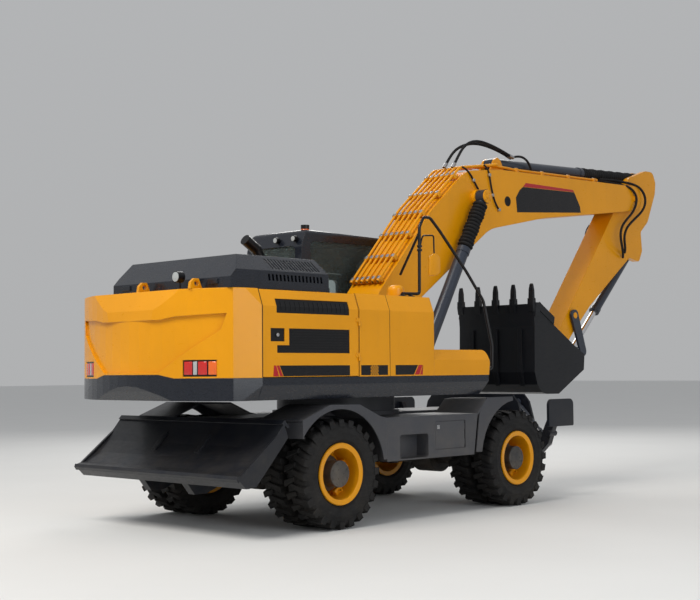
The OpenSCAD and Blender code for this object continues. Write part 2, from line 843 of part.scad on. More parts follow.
// Front face of the tool box, leaning back below its brow
tool_brow_z = 1580;
function tool_front(z) = low_end_x - 15 * (tool_brow_z - z) / (tool_brow_z - body_z0);

module tool_box() {
    placed() color("orange")
        intersection() {
            slab(rounded([[tall_end_x + seat, body_z0, 0], [tall_end_x + seat, low_z1, 0],
                [low_end_x - 20, low_z1, 80], [low_end_x, tool_brow_z, 60], [tool_front(body_z0), body_z0, 0]]),
                -half_w, boom_y - 510);
            across([[-half_w, body_z0], [-half_w, 1610], [-half_w + 45, low_z1], [boom_y - 510, low_z1],
                [boom_y - 510, body_z0]], tall_end_x, low_end_x);
        }
}

module left_cabinet() {
    placed() color("orange")
        difference() {
            across([[half_w, body_z0], [half_w, 2100], [half_w - 60, body_z1], [620, body_z1], [620, body_z0]],
                seam_1_x + 4, cab_x0 - 40);
            box(-2280, -1190, 700, half_w + 1, 1560, 2040);
            box(-2300, -1168, half_w - 30, half_w + 1, 1540, 2060);
        }
    placed() color("orange")
        for (z = hinge_z)
            hinge_pin(cabinet_hinge, half_w, 1, z);
}

module cabinet_door_left() {
    placed() color("orange")
        box(-2294, -1176, half_w - 28, half_w, 1546, 2054);
    placed() color("orange")
        for (z = hinge_z)
            hinge_bore(cabinet_hinge, half_w, -1, z);
}

vent_top = [[-2226, 2040], [-1270, 2040], [-1270, 2170], [-2226, 2170]];
vent_low = [[-2220, 1675], [-1270, 1675], [-1270, 1900], [-2070, 1900], [-2070, 1745], [-2220, 1745]];
latch_plate = [[-2300, 1780], [-2126, 1780], [-2126, 1900], [-2300, 1900]];

module engine_door_right() {
    placed() color("orange") {
        difference() {
            across([[-half_w, body_z0 + 6], [-half_w, 2100], [-half_w + 56, body_z1 - 6],
                [-half_w + 96, body_z1 - 6], [-half_w + 36, 2090], [-half_w + 36, body_z0 + 6]],
                seam_1_x + 6, seam_2_x - 8);
            for (vent = [vent_top, vent_low, latch_plate])
                slab(vent, -half_w - 1, -half_w + 90);
        }
        for (z = hinge_z)
            hinge_bore(engine_hinge, -half_w, -1, z);
    }
}

// Dark grilles and the latch, set into the engine door
module door_grilles() {
    y = -half_w;
    placed() color([0.08, 0.08, 0.09]) {
        across([[y + 6, 2040], [y + 6, 2101], [y + 32, 2170], [y + 50, 2170], [y + 24, 2100], [y + 24, 2040]],
            vent_top[0][0], vent_top[1][0]);
        for (x = [vent_top[0][0] + 60:60:vent_top[1][0] - 40])
            across([[y + 2, 2060], [y + 2, 2100], [y + 20, 2150], [y + 28, 2150], [y + 10, 2060]], x, x + 8);
        slab(vent_low, y + 6, y + 24);
        for (z = [1700:25:1880])
            slab([[z < 1750 ? -2200 : -2055, z], [-1285, z], [-1285, z + 8], [z < 1750 ? -2200 : -2055, z + 8]],
                y + 1, y + 7);
        slab(latch_plate, y + 8, y + 26);
        bar_y([-2213, 1840], 22, y + 1, y + 9);
    }
}

module centre_cover() {
    placed() color([0.25, 0.27, 0.3]) {
        slab([[-1448, body_z0], [-1448, body_z1 - 8], [-1060, body_z1 - 8], [-620, 1860], [-560, 1700],
            [-560, body_z0]], boom_y - 500 + seat, 620 - seat);
        for (y = hood_hinge_y)
            cover_hinge(y);
    }
}

// Hood outline across the machine and along it, drawn in by inset
function hood_across(y0, inset) = [[y0 + inset, body_z1 - inset], [y0 + inset, 2430 - inset / 2],
    [y0 + 150 + inset / 2, hood_z1 - inset], [570 - inset / 2, hood_z1 - inset], [612 - inset, 2430 - inset / 2],
    [612 - inset, body_z1 - inset]];
function hood_along(inset) = [[-2690 + inset, body_z1 - inset], [-2690 + inset, 2360 - inset / 2],
    [-2490 + inset / 2, hood_z1 - inset], [-1500 - inset / 2, hood_z1 - inset], [-1450 - inset, 2400 - inset / 2],
    [-1450 - inset, body_z1 - inset]];

module hood() {
    y0 = -half_w + 100;
    placed() color([0.2, 0.22, 0.26]) {
        difference() {
            intersection() {
                across(hood_across(y0, 0), -2700, -1440);
                slab(hood_along(0), y0, 612);
                box(-2700, -1440, y0, 612, body_z1 + seat, hood_z1);
            }
            intersection() {
                across(hood_across(y0, 36), -2700, -1440);
                slab(hood_along(36), y0, 612);
            }
            for (x = [-2190:40:-1580])
                slab([[x, 2548], [x + 20, 2548], [x + 48, 2448], [x + 28, 2448]], y0 - 1, y0 + 220);
            for (x = [-2240:48:-1560])
                slab([[x, 2400], [x + 26, 2400], [x + 36, 2340], [x + 10, 2340]], y0 - 1, y0 + 60);
        }
        for (y = [y0 + 170, 330])
            box(-2702, -2689, y, y + 130, 2300, 2345);
        for (y = hood_hinge_y)
            hood_eye(y);
    }
}

// Cab outline along the machine, and its windows as x or y, z and corner radius
cab_side = [[cab_x0, body_z0 + 10, 0], [cab_x0, 2890, 60], [cab_x0 + 75, cab_z1, 60], [cab_x1 - 210, cab_z1 - 25, 90],
    [cab_x1, 2680, 90], [cab_x1, body_z0 + 10, 0]];
cab_front_view = [[cab_y0, body_z0 + 10, 0], [cab_y0, cab_z1, 50], [cab_y1 - 30, cab_z1, 70], [cab_y1, 2700, 60],
    [cab_y1, body_z0 + 10, 0]];

// A window's outline with rounded corners, drawn in by inset
function window(a0, a1, z0, z1, inset = 0) = rounded([[a0 + inset, z0 + inset, 60], [a0 + inset, z1 - inset, 60],
    [a1 - inset, z1 - inset, 60], [a1 - inset, z0 + inset, 60]]);
function rear_window(inset = 0) = window(cab_y0 + 105, cab_y1 - 110, 2250, 2900, inset);
function right_window(inset = 0) = window(cab_x0 + 140, cab_x1 - 190, 2130, 2955, inset);
function front_window(inset = 0) = window(cab_y0 + 80, cab_y1 - 80, 1750, 2620, inset);

module cab_shell() {
    w = 70;
    placed() color([0.2, 0.22, 0.26])
        difference() {
            intersection() {
                slab(rounded(cab_side), cab_y0, cab_y1);
                across(rounded(cab_front_view), cab_x0, cab_x1);
            }
            slab([[cab_x0 + w, body_z0 + 70], [cab_x0 + w, 2880], [cab_x0 + 120, cab_z1 - 60],
                [cab_x1 - 230, cab_z1 - 85], [cab_x1 - w, 2650], [cab_x1 - w, body_z0 + 70]],
                cab_y0 + 50, cab_y1 - 50);
            across(rear_window(), cab_x0 - 1, cab_x0 + w + 1);
            slab(right_window(), cab_y0 - 1, cab_y0 + 51);
            across(front_window(), cab_x1 - w - 60, cab_x1 + 1);
            box(-180, cab_x1 - 150, cab_y1 - 51, cab_y1 + 1, 1540, 2700);
        }
    placed() color([0.2, 0.22, 0.26])
        for (z = cab_hinge_z)
            hinge_pin(cab_hinge, cab_y1, -1, z);
}

module cab_glass() {
    placed() color([0.3, 0.4, 0.42, 0.4]) {
        across(rear_window(seat), cab_x0 + 20, cab_x0 + 26);
        slab(right_window(seat), cab_y0 + 14, cab_y0 + 20);
        across(front_window(seat), cab_x1 - 26, cab_x1 - 20);
    }
}

module cab_door() {
    placed() color([0.2, 0.22, 0.26])
        difference() {
            box(-172, cab_x1 - 156, cab_y1 - 45, cab_y1, 1546, 2694);
            slab(window(-90, cab_x1 - 230, 1980, 2620), cab_y1 - 46, cab_y1 + 1);
        }
    placed() color([0.2, 0.22, 0.26])
        for (z = cab_hinge_z)
            hinge_bore(cab_hinge, cab_y1, 1, z);
}

module cab_seat() {
    placed() color([0.1, 0.1, 0.1]) {
        box(300, 700, 560, 1010, body_z0 + 70.3, 1700);
        box(240, 760, 540, 1030, 1700, 1990);
        box(200, 320, 540, 1030, 1990, 2600);
    }
}

// Right handrail from the tank's top over to the tool box's front, with the mirror's arm
rail_y = -1100;
rail_path = [[-330, rail_y, body_z1 + 34], [-60, rail_y, body_z1 + 40], [-50, rail_y, 3005], [20, rail_y, 3110],
    [120, rail_y, 3115], [275, rail_y, 2990], [706, rail_y - 10, 2578], [940, rail_y - 60, 2260],
    [1000, rail_y - 125, 1765], [986, rail_y - 125, 1502], [tool_front(1510) + 0.5, rail_y - 125, 1510]];
mirror_path = [[-48, rail_y, 2780], [0, rail_y, 2915], [180, rail_y, 2930], [185, rail_y, 2720]];

module handrail() {
    placed() color([0.1, 0.1, 0.1]) {
        tube(rail_path, 17);
        tube([[-50, rail_y, 2945], [-20, -800, 2520]], 15);
        tube(mirror_path, 9);
        bar_x([rail_y, 2780], 30, -82, -18);
        for (x = [-330, -200])
            bar_z([x, rail_y], 26, body_z1, body_z1 + 38);
        slab(rounded([[95, 2500, 40], [95, 2700, 40], [195, 2745, 40], [275, 2700, 60], [275, 2540, 60],
            [200, 2500, 40]]), rail_y - 16, rail_y + 16);
    }
}

stack_x = -600;
stack_y = 750;
stack_path = [[stack_x, stack_y, body_z1], [stack_x, stack_y, 2720], [stack_x - 80, stack_y, 2860],
    [stack_x - 245, stack_y, 2960]];

module exhaust() {
    placed() color([0.1, 0.1, 0.1]) {
        tube(stack_path, 62, 96);
        for (i = [1, 2])
            translate(stack_path[i])
                sphere(r = 64);
        bar_z([stack_x, stack_y], 80, body_z1, body_z1 + 60);
    }
}

boom_outline = rounded([
    [99, 2378, 300], [966, 3320, 900], [1621, 3860, 500], [2292, 3944, 300], [5361, 4041, 60], [5540, 4010, 100],
    [5560, 3800, 150], [5390, 3702, 60], [3200, 3423, 900], [2067, 3198, 600], [808, 2341, 0],
    [100, 1730, 60], [-130, 1740, 60], [-150, 1960, 100]]);

module boom() {
    on_boom_plane() color("orange")
        difference() {
            union() {
                slab(boom_outline, -boom_half_w, boom_half_w);
                both_sides() {
                    bar_y(boom_cyl_head, 95, 0, boom_half_w + 60);
                    slab([[arm_cyl_foot[0] - 160, 3930], [arm_cyl_foot[0] - 60, 4100], [arm_cyl_foot[0], 4130],
                        [arm_cyl_foot[0] + 60, 4100], [arm_cyl_foot[0] + 160, 3930]], 66, 96);
                }
                bar_y(arm_cyl_foot, 38, -96, 96);
            }
            bar_y(foot_pin, pin_r + fit, -boom_half_w - 1, boom_half_w + 1);
            bar_y(arm_pin, 540, -arm_half_w - 5, arm_half_w + 5);
        }
    on_boom_plane() color("silver")
        bar_y(arm_pin, pin_r, -boom_half_w - 20, boom_half_w + 20);
}

// Route of the pipes over the boom's back, and clamp stations along its straight stretches
pipe_path = [[110, 2480], [920, 3362], [1570, 3900], [2290, 4010]];
nose_path = [[2290, 4010], [2640, 4010], [2720, 4005], [4620, 4065]];
pipe_lanes = [-200, -120, -40, 40, 120, 200];

module boom_pipes() {
    on_boom_plane() color("orange") {
        for (y = pipe_lanes)
            tube([for (p = pipe_path) [p[0], y, p[1]]], 17);
        for (y = [pipe_lanes[1], pipe_lanes[4]])
            tube([for (p = nose_path) [p[0], y, p[1]]], 17);
        for (t = [0.04, 0.33, 0.64, 0.93])
            aim(pipe_path[0] + t * (pipe_path[1] - pipe_path[0]), angle_of(pipe_path[0], pipe_path[1]))
                pipe_clamp(pipe_lanes[0], pipe_lanes[5], 60.8);
        for (t = [0.35, 0.8])
            aim(pipe_path[1] + t * (pipe_path[2] - pipe_path[1]), angle_of(pipe_path[1], pipe_path[2]))
                pipe_clamp(pipe_lanes[0], pipe_lanes[5], 61.4);
        for (t = [0.03, 0.32, 0.63, 0.95], y = [pipe_lanes[1], pipe_lanes[4]])
            aim(nose_path[2] + t * (nose_path[3] - nose_path[2]), angle_of(nose_path[2], nose_path[3]))
                pipe_clamp(y, y, 47);
    }
}

// A clamp block over pipes from y0 to y1, reaching down by drop to the boom
module pipe_clamp(y0, y1, drop) {
    box(-28, 28, y0 - 28, y1 + 28, -drop, 24);
}

module boom_barrels() {
    on_boom_plane() color("slategray")
        both_sides() translate([0, 370, 0])
            aim(boom_cyl_foot, angle_of(boom_cyl_foot, boom_cyl_head))
                barrel(1700, 72, 42, 85, 106, pin_r);
}

module boom_rods() {
    l = dist(boom_cyl_foot, boom_cyl_head);
    on_boom_plane() color("silver")
        both_sides() translate([0, 370, 0])
            aim(boom_cyl_foot, angle_of(boom_cyl_foot, boom_cyl_head))
                rod(700, l, 42, 85, 106);
}

module arm_barrel() {
    on_boom_plane() color("slategray")
        aim(arm_cyl_foot, angle_of(arm_cyl_foot, arm_cyl_head))
            barrel(1950, 75, 50, 72, 130, 38);
}

module arm_rod() {
    l = dist(arm_cyl_foot, arm_cyl_head);
    on_boom_plane() color("silver")
        aim(arm_cyl_foot, angle_of(arm_cyl_foot, arm_cyl_head))
            rod(1800, l, 50, 85, 130);
}

// Arm outline in its own frame: along the axis, outwards, corner radius
arm_rows = [
    [-760, 200, 90], [-700, 350, 80], [-560, 440, 200], [-102, 551, 150], [146, 506, 60], [330, 700, 40],
    [510, 740, 60], [640, 520, 0], [1056, 408, 500], [arm_l - 831, 206, 300], [arm_l - 304, 132, 200],
    [arm_l + 110, 94, 90], [arm_l + 120, -120, 90], [1061, -155, 100], [300, -170, 200], [-230, -190, 120], [-640, 60, 80]];

module arm() {
    pts = [for (p = rounded(arm_rows)) on_arm(p[0], p[1])];
    on_boom_plane() color("orange")
        difference() {
            slab(pts, -arm_half_w, arm_half_w);
            bar_y(arm_pin, pin_r + fit, -200, 200);
            bar_y(bucket_pin, pin_r + fit, -200, 200);
            slab([for (p = arm_tail_slot) on_arm(p[0], p[1])], -72, 72);
            slab([for (p = arm_rear_slot) on_arm(p[0], p[1])], -65, 65);
        }
    on_boom_plane() color("silver") {
        bar_y(bucket_cyl_foot, 36, -arm_half_w + 10, arm_half_w - 10);
        bar_y(lever_pin, 40, -arm_half_w - 55, arm_half_w + 55);
    }
}

// Gaps in the arm for the rod eye at its tail and for the bucket cylinder's foot
arm_tail_slot = [[-900, -400], [-900, 445], [-640, 445], [-400, 290], [-400, 120], [-60, -250], [-60, -400]];
arm_rear_slot = [[330, 800], [330, 590], [400, 545], [480, 525], [700, 485], [900, 800]];

module bucket_barrel() {
    on_boom_plane() color("slategray")
        aim(bucket_cyl_foot, angle_of(bucket_cyl_foot, link_top))
            barrel(1250, 62, 38, 62, 110, 36);
}

module bucket_rod() {
    l = dist(bucket_cyl_foot, link_top);
    on_boom_plane() color("silver")
        aim(bucket_cyl_foot, angle_of(bucket_cyl_foot, link_top))
            rod(1150, l, 38, 62, 100);
}

module bucket_lever() {
    l = dist(lever_pin, link_top);
    on_boom_plane() color("slategray")
        both_sides()
            aim(lever_pin, angle_of(lever_pin, link_top))
                difference() {
                    slab(concat(arc([0, 0], 78, 90, 270, 8), arc([l, 0], 65, -90, 90, 8)),
                        arm_half_w + 20, arm_half_w + 50);
                    bar_y([0, 0], 40 + fit, 0, arm_half_w + 60);
                }
}

module bucket_link() {
    l = dist(link_top, link_foot);
    on_boom_plane() color("slategray")
        aim(link_foot, angle_of(link_foot, link_top)) {
            both_sides() {
                difference() {
                    union() {
                        slab(concat(arc([0, 0], 65, 90, 270, 8), arc([l, 0], 60, -90, 90, 8)), 52, 100);
                        bar_y([0, 0], 65, 40, ear_y0 - 1);
                    }
                    bar_y([0, 0], 40 + fit, 30, 200);
                }
                bar_y([l, 0], 42, 99, arm_half_w + 19.4);
            }
            box(170, 230, -53, 53, -35, 35);
        }
}

// Bucket outlines from the bucket's pin
bucket_side = [[-1177, 453], [-1158, 182], [-1170, -372], [-1118, -524], [-1030, -619], [-914, -640],
    [-672, -642], [-508, -554], [-115, -348], [-95, -154], [-292, -59], [-764, 207]];
bucket_inside = [[-1151, 576], [-1134, 184], [-1146, -366], [-1097, -512], [-1018, -597], [-910, -616],
    [-678, -618], [-519, -532], [-139, -333], [-122, -154], [-122, 56], [-748, 576]];
ear_profile = [[-498, -548], [-168, -474], [-88, -459], [-7, -466], [57, -444], [80, -377],
    [94, -144], [104, 0], [57, 81], [-23, 102], [-98, 46], [-118, -64], [-115, -348]];
ear_y0 = arm_half_w + 7;
ear_t = 36;

// A tooth with its adaptor, pointed from both flats
module bucket_tooth(y) {
    slab([[-1148, 356], [-1180, 356], [-1196, 440], [-1192, 520], [-1136, 520], [-1132, 440]], y - 40, y + 40);
    intersection() {
        slab([[-1186, 500], [-1174, 690], [-1162, 700], [-1150, 690], [-1142, 500]], y - 32, y + 32);
        across([[y - 32, 500], [y - 32, 620], [y - 18, 700], [y + 18, 700], [y + 32, 620], [y + 32, 500]],
            -1190, -1138);
    }
}

module bucket() {
    w = bucket_w / 2;
    on_boom_plane() {
        color([0.2, 0.22, 0.25]) translate([bucket_pin[0], 0, bucket_pin[1]]) {
            difference() {
                slab(bucket_side, -w, w);
                slab(bucket_inside, -w + 26, w - 26);
            }
            both_sides()
                slab(ear_profile, ear_y0, ear_y0 + ear_t);
            for (y = [-w + 35, -w / 2 + 18, 0, w / 2 - 18, w - 35])
                bucket_tooth(y);
            both_sides() {
                slab([[-1158, 300], [-1134, 470], [-1040, 470], [-1060, 400], [-1080, 300]], w - 2, w + 14);
                slab([[-1060, 478], [-748, 300], [-764, 207], [-1100, 400]], w - 2, w + 8);
            }
            for (y = [-w / 2 - 80, 0, w / 2 + 80])
                slab([[-1170, 150], [-1182, 150], [-1194, -376], [-1140, -540], [-1124, -530], [-1168, -370]],
                    y - 30, y + 30);
        }
        color("silver") {
            bar_y(bucket_pin, pin_r, -ear_y0 - ear_t - 12, ear_y0 + ear_t + 12);
            bar_y(link_foot, 40, -ear_y0 - ear_t - 12, ear_y0 + ear_t + 12);
        }
    }
}

chassis_frame();
side_boxes();
rear_fenders();
front_fenders();
rear_axle();
front_axle();
drivetrain();
outrigger_frame();
locker_door();
knuckle_right();
knuckle_left();
steering_rod();
tyres_front_right();
rims_front_right();
tyres_front_left();
rims_front_left();
tyres_rear_right();
rims_rear_right();
tyres_rear_left();
rims_rear_left();
blade();
blade_barrels();
blade_rods();
leg_right();
leg_left();
leg_barrel_right();
leg_barrel_left();
leg_rod_right();
leg_rod_left();
upper_frame();
skirts();
counterweight();
engine_block();
right_tanks();
tool_box();
left_cabinet();
centre_cover();
hood();
lamps();
door_grilles();
engine_door_right();
cabinet_door_left();
cab_shell();
cab_glass();
cab_door();
cab_seat();
handrail();
exhaust();
boom();
boom_pipes();
boom_barrels();
boom_rods();
arm_barrel();
arm_rod();
arm();
bucket_barrel();
bucket_rod();
bucket_lever();
bucket_link();
bucket();
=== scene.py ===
import json
import math

import bmesh
import bpy
from mathutils import Matrix, Vector


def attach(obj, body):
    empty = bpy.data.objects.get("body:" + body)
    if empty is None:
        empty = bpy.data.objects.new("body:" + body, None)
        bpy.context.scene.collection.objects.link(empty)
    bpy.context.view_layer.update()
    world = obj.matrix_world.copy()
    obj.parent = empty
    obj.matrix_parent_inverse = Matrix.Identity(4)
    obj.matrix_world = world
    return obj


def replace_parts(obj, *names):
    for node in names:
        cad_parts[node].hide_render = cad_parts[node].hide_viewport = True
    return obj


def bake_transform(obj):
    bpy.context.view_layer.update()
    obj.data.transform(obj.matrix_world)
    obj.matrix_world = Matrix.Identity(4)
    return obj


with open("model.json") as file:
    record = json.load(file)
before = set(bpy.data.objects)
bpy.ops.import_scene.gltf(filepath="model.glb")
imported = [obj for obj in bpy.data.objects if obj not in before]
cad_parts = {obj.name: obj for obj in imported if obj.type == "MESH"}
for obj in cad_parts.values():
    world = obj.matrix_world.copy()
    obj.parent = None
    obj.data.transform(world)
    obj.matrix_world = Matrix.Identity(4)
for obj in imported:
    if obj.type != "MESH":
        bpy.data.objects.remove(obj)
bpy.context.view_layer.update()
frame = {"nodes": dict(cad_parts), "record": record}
scene = bpy.context.scene
OX = 1.55               # the origin's distance ahead of the middle of the wheelbase, m
BY = -0.15              # centre plane of boom, arm and bucket, m
HALF_BASE = 1.4         # from the middle of the wheelbase to each axle, m
HOUSE_SIDE = -1250.0    # right face of the house, mm
BOOM_SIDE = -400.0      # right face of the boom, mm
CYLINDER_Y = 370.0      # from the boom's centre plane to each boom cylinder, mm
BOOM_HEAD = (1793.0, 3550.0)  # pin of the boom cylinders' rods, x and z, mm


# ---------------------------------------------------------------- camera
PHOTO_WIDTH = 700.0     # px
FOCAL_LENGTH = 1265.62  # px
SENSOR = 36.0           # mm


def make_camera():
    """The camera of the photograph."""
    place = Vector((-10.056 - OX, -9.7097, 1.5118))
    yaw, pitch, roll = 0.76597, 0.05543, -0.00835
    cy, sy, cp, sp = math.cos(yaw), math.sin(yaw), math.cos(pitch), math.sin(pitch)
    ahead = Vector((cy * cp, sy * cp, sp))
    right = Vector((sy, -cy, 0.0))
    up = right.cross(ahead)
    r2 = math.cos(roll) * right + math.sin(roll) * up
    u2 = -math.sin(roll) * right + math.cos(roll) * up
    cam = bpy.data.objects.new("camera", bpy.data.cameras.new("camera"))
    scene.collection.objects.link(cam)
    m = Matrix((r2, u2, -ahead)).transposed().to_4x4()
    m.translation = place
    cam.matrix_world = m
    cam.data.sensor_width = SENSOR
    cam.data.lens = FOCAL_LENGTH * SENSOR / PHOTO_WIDTH
    cam.data.clip_end = 200.0
    scene.camera = cam


make_camera()


# ---------------------------------------------------------------- node helpers
class Net:
    """A node tree with short calls for adding and joining nodes."""

    def __init__(self, tree):
        self.tree = tree

    def add(self, kind, **sets):
        n = self.tree.nodes.new(kind)
        for k, v in sets.items():
            setattr(n, k, v)
        return n

    def put(self, node, name, value):
        socket = node.inputs[name]
        if isinstance(value, bpy.types.NodeSocket):
            self.tree.links.new(value, socket)
        else:
            socket.default_value = value

    def noise(self, vector, scale, detail=4.0, rough=0.6):
        n = self.add("ShaderNodeTexNoise")
        self.put(n, "Vector", vector)
        self.put(n, "Scale", scale)
        self.put(n, "Detail", detail)
        self.put(n, "Roughness", rough)
        return n.outputs["Fac"]

    def ramp(self, value, lo, hi, to_lo=0.0, to_hi=1.0):
        n = self.add("ShaderNodeMapRange")
        self.put(n, "Value", value)
        for k, v in (("From Min", lo), ("From Max", hi), ("To Min", to_lo), ("To Max", to_hi)):
            self.put(n, k, v)
        return n.outputs["Result"]

    def math(self, op, a, b=0.5):
        n = self.add("ShaderNodeMath", operation=op)
        self.put(n, 0, a)
        self.put(n, 1, b)
        return n.outputs[0]

    def mix(self, fac, a, b):
        n = self.add("ShaderNodeMix", data_type="RGBA")
        self.put(n, "Factor", fac)
        self.put(n, "A", a)
        self.put(n, "B", b)
        return n.outputs["Result"]

    def split(self, vector):
        n = self.add("ShaderNodeSeparateXYZ")
        self.put(n, 0, vector)
        return n.outputs

    def stretch(self, vector, x, y, z):
        n = self.add("ShaderNodeMapping")
        self.put(n, "Vector", vector)
        self.put(n, "Scale", (x, y, z))
        return n.outputs["Vector"]

    def bump(self, height, strength, distance, normal=None):
        n = self.add("ShaderNodeBump")
        self.put(n, "Height", height)
        self.put(n, "Strength", strength)
        self.put(n, "Distance", distance)
        if normal is not None:
            self.put(n, "Normal", normal)
        return n.outputs["Normal"]


def rgb(r, g, b):
    """sRGB 0-255 to a linear colour."""
    def lin(c):
        c /= 255.0
        return c / 12.92 if c <= 0.04045 else ((c + 0.055) / 1.055) ** 2.4
    return (lin(r), lin(g), lin(b), 1.0)


def group(name, outs):
    """An empty node group with object coordinates and an output node."""
    tree = bpy.data.node_groups.new(name, "ShaderNodeTree")
    for label, kind in outs:
        tree.interface.new_socket(label, in_out="OUTPUT", socket_type=kind)
    net = Net(tree)
    coords = net.add("ShaderNodeTexCoord").outputs["Object"]
    end = net.add("NodeGroupOutput")
    return tree, net, coords, end


def make_dust():
    """Dust and dirt: more near the ground and on faces that look up."""
    tree, net, co, end = group("dust", [("Low", "NodeSocketFloat"), ("Top", "NodeSocketFloat"),
                                        ("Streak", "NodeSocketFloat")])
    z = net.split(co)[2]
    patch = net.noise(co, 3.1, 8.0, 0.72)
    low = net.ramp(z, 1.25, 0.15)
    end_low = net.math("MULTIPLY", low, net.ramp(patch, 0.36, 0.66))
    nz = net.split(net.add("ShaderNodeNewGeometry").outputs["Normal"])[2]
    top = net.math("MULTIPLY", net.ramp(nz, 0.35, 0.95), net.ramp(net.noise(co, 7.0, 9.0, 0.7), 0.35, 0.7))
    runs = net.noise(net.stretch(co, 14.0, 14.0, 0.7), 1.0, 3.0, 0.55)
    streak = net.math("MULTIPLY", net.ramp(runs, 0.52, 0.78), net.ramp(patch, 0.4, 0.62))
    net.put(end, "Low", end_low)
    net.put(end, "Top", top)
    net.put(end, "Streak", streak)
    return tree


def make_wear():
    """Fine scratches and chips, and the paint's orange peel."""
    tree, net, co, end = group("wear", [("Chips", "NodeSocketFloat"), ("Peel", "NodeSocketFloat"),
                                        ("Scuff", "NodeSocketFloat")])
    fine = net.noise(co, 46.0, 6.0, 0.75)
    broad = net.noise(co, 2.3, 5.0, 0.6)
    net.put(end, "Chips", net.math("MULTIPLY", net.ramp(fine, 0.69, 0.74), net.ramp(broad, 0.5, 0.62)))
    net.put(end, "Peel", net.noise(co, 260.0, 2.0, 0.5))
    net.put(end, "Scuff", net.ramp(net.noise(net.stretch(co, 3.0, 3.0, 11.0), 4.0, 7.0, 0.7), 0.35, 0.75))
    return tree


DUST = make_dust()
WEAR = make_wear()
BARE_STEEL = (0.05, 0.045, 0.04, 1.0)


def material(name):
    """A new material with its net, its Principled shader and its object coordinates."""
    m = bpy.data.materials.new(name)
    m.use_nodes = True
    net = Net(m.node_tree)
    shader = m.node_tree.nodes["Principled BSDF"]
    coords = net.add("ShaderNodeTexCoord").outputs["Object"]
    return m, net, shader, coords


def effects(net):
    """The dust and wear groups' outputs, placed in a material."""
    d = net.add("ShaderNodeGroup", node_tree=DUST)
    w = net.add("ShaderNodeGroup", node_tree=WEAR)
    return d.outputs, w.outputs


def round_edges(net, radius):
    """Normals that look rounded over the edges."""
    n = net.add("ShaderNodeBevel", samples=4)
    net.put(n, "Radius", radius)
    return n.outputs["Normal"]


def darker(colour, share):
    """The colour times a share, with alpha 1; a share above 1 lightens."""
    return tuple(min(1.0, c * share) for c in colour[:3]) + (1.0,)


def paint(name, colour, dust, rough, coat, edge):
    """Sprayed paint: slow shade changes, dust, chips and orange peel."""
    m, net, s, co = material(name)
    d, w = effects(net)
    shade = net.noise(co, 0.8, 4.0, 0.55)
    base = net.mix(net.ramp(shade, 0.3, 0.7), darker(colour, 0.86), colour)
    base = net.mix(net.math("MULTIPLY", d["Streak"], 0.06), base, rgb(96, 84, 66))
    base = net.mix(net.math("MULTIPLY", d["Top"], 0.35 * dust), base, rgb(150, 140, 122))
    base = net.mix(net.math("MULTIPLY", d["Low"], dust), base, rgb(128, 118, 101))
    base = net.mix(w["Chips"], base, BARE_STEEL)
    net.put(s, "Base Color", base)
    r = net.ramp(w["Scuff"], 0.0, 1.0, rough - 0.05, rough + 0.12)
    r = net.math("ADD", r, net.math("MULTIPLY", d["Low"], 0.4 * dust))
    net.put(s, "Roughness", r)
    s.inputs["Specular IOR Level"].default_value = 0.28
    s.inputs["Coat Weight"].default_value = coat
    s.inputs["Coat Roughness"].default_value = 0.12
    n = round_edges(net, edge)
    n = net.bump(w["Peel"], 0.05, 0.001, n)
    net.put(s, "Normal", n)
    return m


def rubber(name):
    """Worn black rubber, dusty near the ground."""
    m, net, s, co = material(name)
    d, w = effects(net)
    base = net.mix(net.ramp(net.noise(co, 5.0, 8.0, 0.7), 0.35, 0.7), rgb(13, 13, 15), rgb(27, 27, 28))
    base = net.mix(net.math("MULTIPLY", d["Low"], 0.16), base, rgb(96, 88, 76))
    net.put(s, "Base Color", base)
    net.put(s, "Roughness", net.ramp(w["Scuff"], 0.0, 1.0, 0.62, 0.86))
    s.inputs["Specular IOR Level"].default_value = 0.25
    n = round_edges(net, 0.006)
    net.put(s, "Normal", net.bump(net.noise(co, 90.0, 6.0, 0.7), 0.25, 0.002, n))
    return m


def metal(name, colour, rough):
    """Ground bare metal with fine lines."""
    m, net, s, co = material(name)
    _, w = effects(net)
    lines = net.noise(net.stretch(co, 40.0, 40.0, 4.0), 6.0, 5.0, 0.6)
    net.put(s, "Base Color", net.mix(net.math("MULTIPLY", w["Scuff"], 0.35), colour, darker(colour, 0.6)))
    s.inputs["Metallic"].default_value = 1.0
    net.put(s, "Roughness", net.ramp(lines, 0.3, 0.7, rough - 0.06, rough + 0.1))
    net.put(s, "Normal", net.bump(lines, 0.08, 0.0005, round_edges(net, 0.003)))
    return m


def cast(name, colour, rough=0.62):
    """Rough painted casting."""
    m, net, s, co = material(name)
    d, w = effects(net)
    base = net.mix(net.ramp(net.noise(co, 9.0, 8.0, 0.7), 0.3, 0.75), colour, darker(colour, 2.1))
    base = net.mix(net.math("MULTIPLY", d["Low"], 0.6), base, rgb(116, 104, 88))
    net.put(s, "Base Color", base)
    net.put(s, "Roughness", net.ramp(w["Scuff"], 0.0, 1.0, rough - 0.08, rough + 0.2))
    net.put(s, "Normal", net.bump(net.noise(co, 150.0, 5.0, 0.65), 0.3, 0.002, round_edges(net, 0.005)))
    return m


def glass(name):
    """Clear cab glazing with faint streaks."""
    m, net, s, co = material(name)
    d, w = effects(net)
    streak = net.math("MULTIPLY", d["Streak"], 0.3)
    net.put(s, "Base Color", net.mix(streak, rgb(176, 190, 188), rgb(140, 132, 118)))
    s.inputs["Transmission Weight"].default_value = 0.92
    s.inputs["IOR"].default_value = 1.12
    net.put(s, "Roughness", net.ramp(w["Scuff"], 0.0, 1.0, 0.02, 0.07))
    net.put(s, "Normal", net.bump(net.noise(co, 1.4, 2.0, 0.4), 0.02, 0.004))
    return m


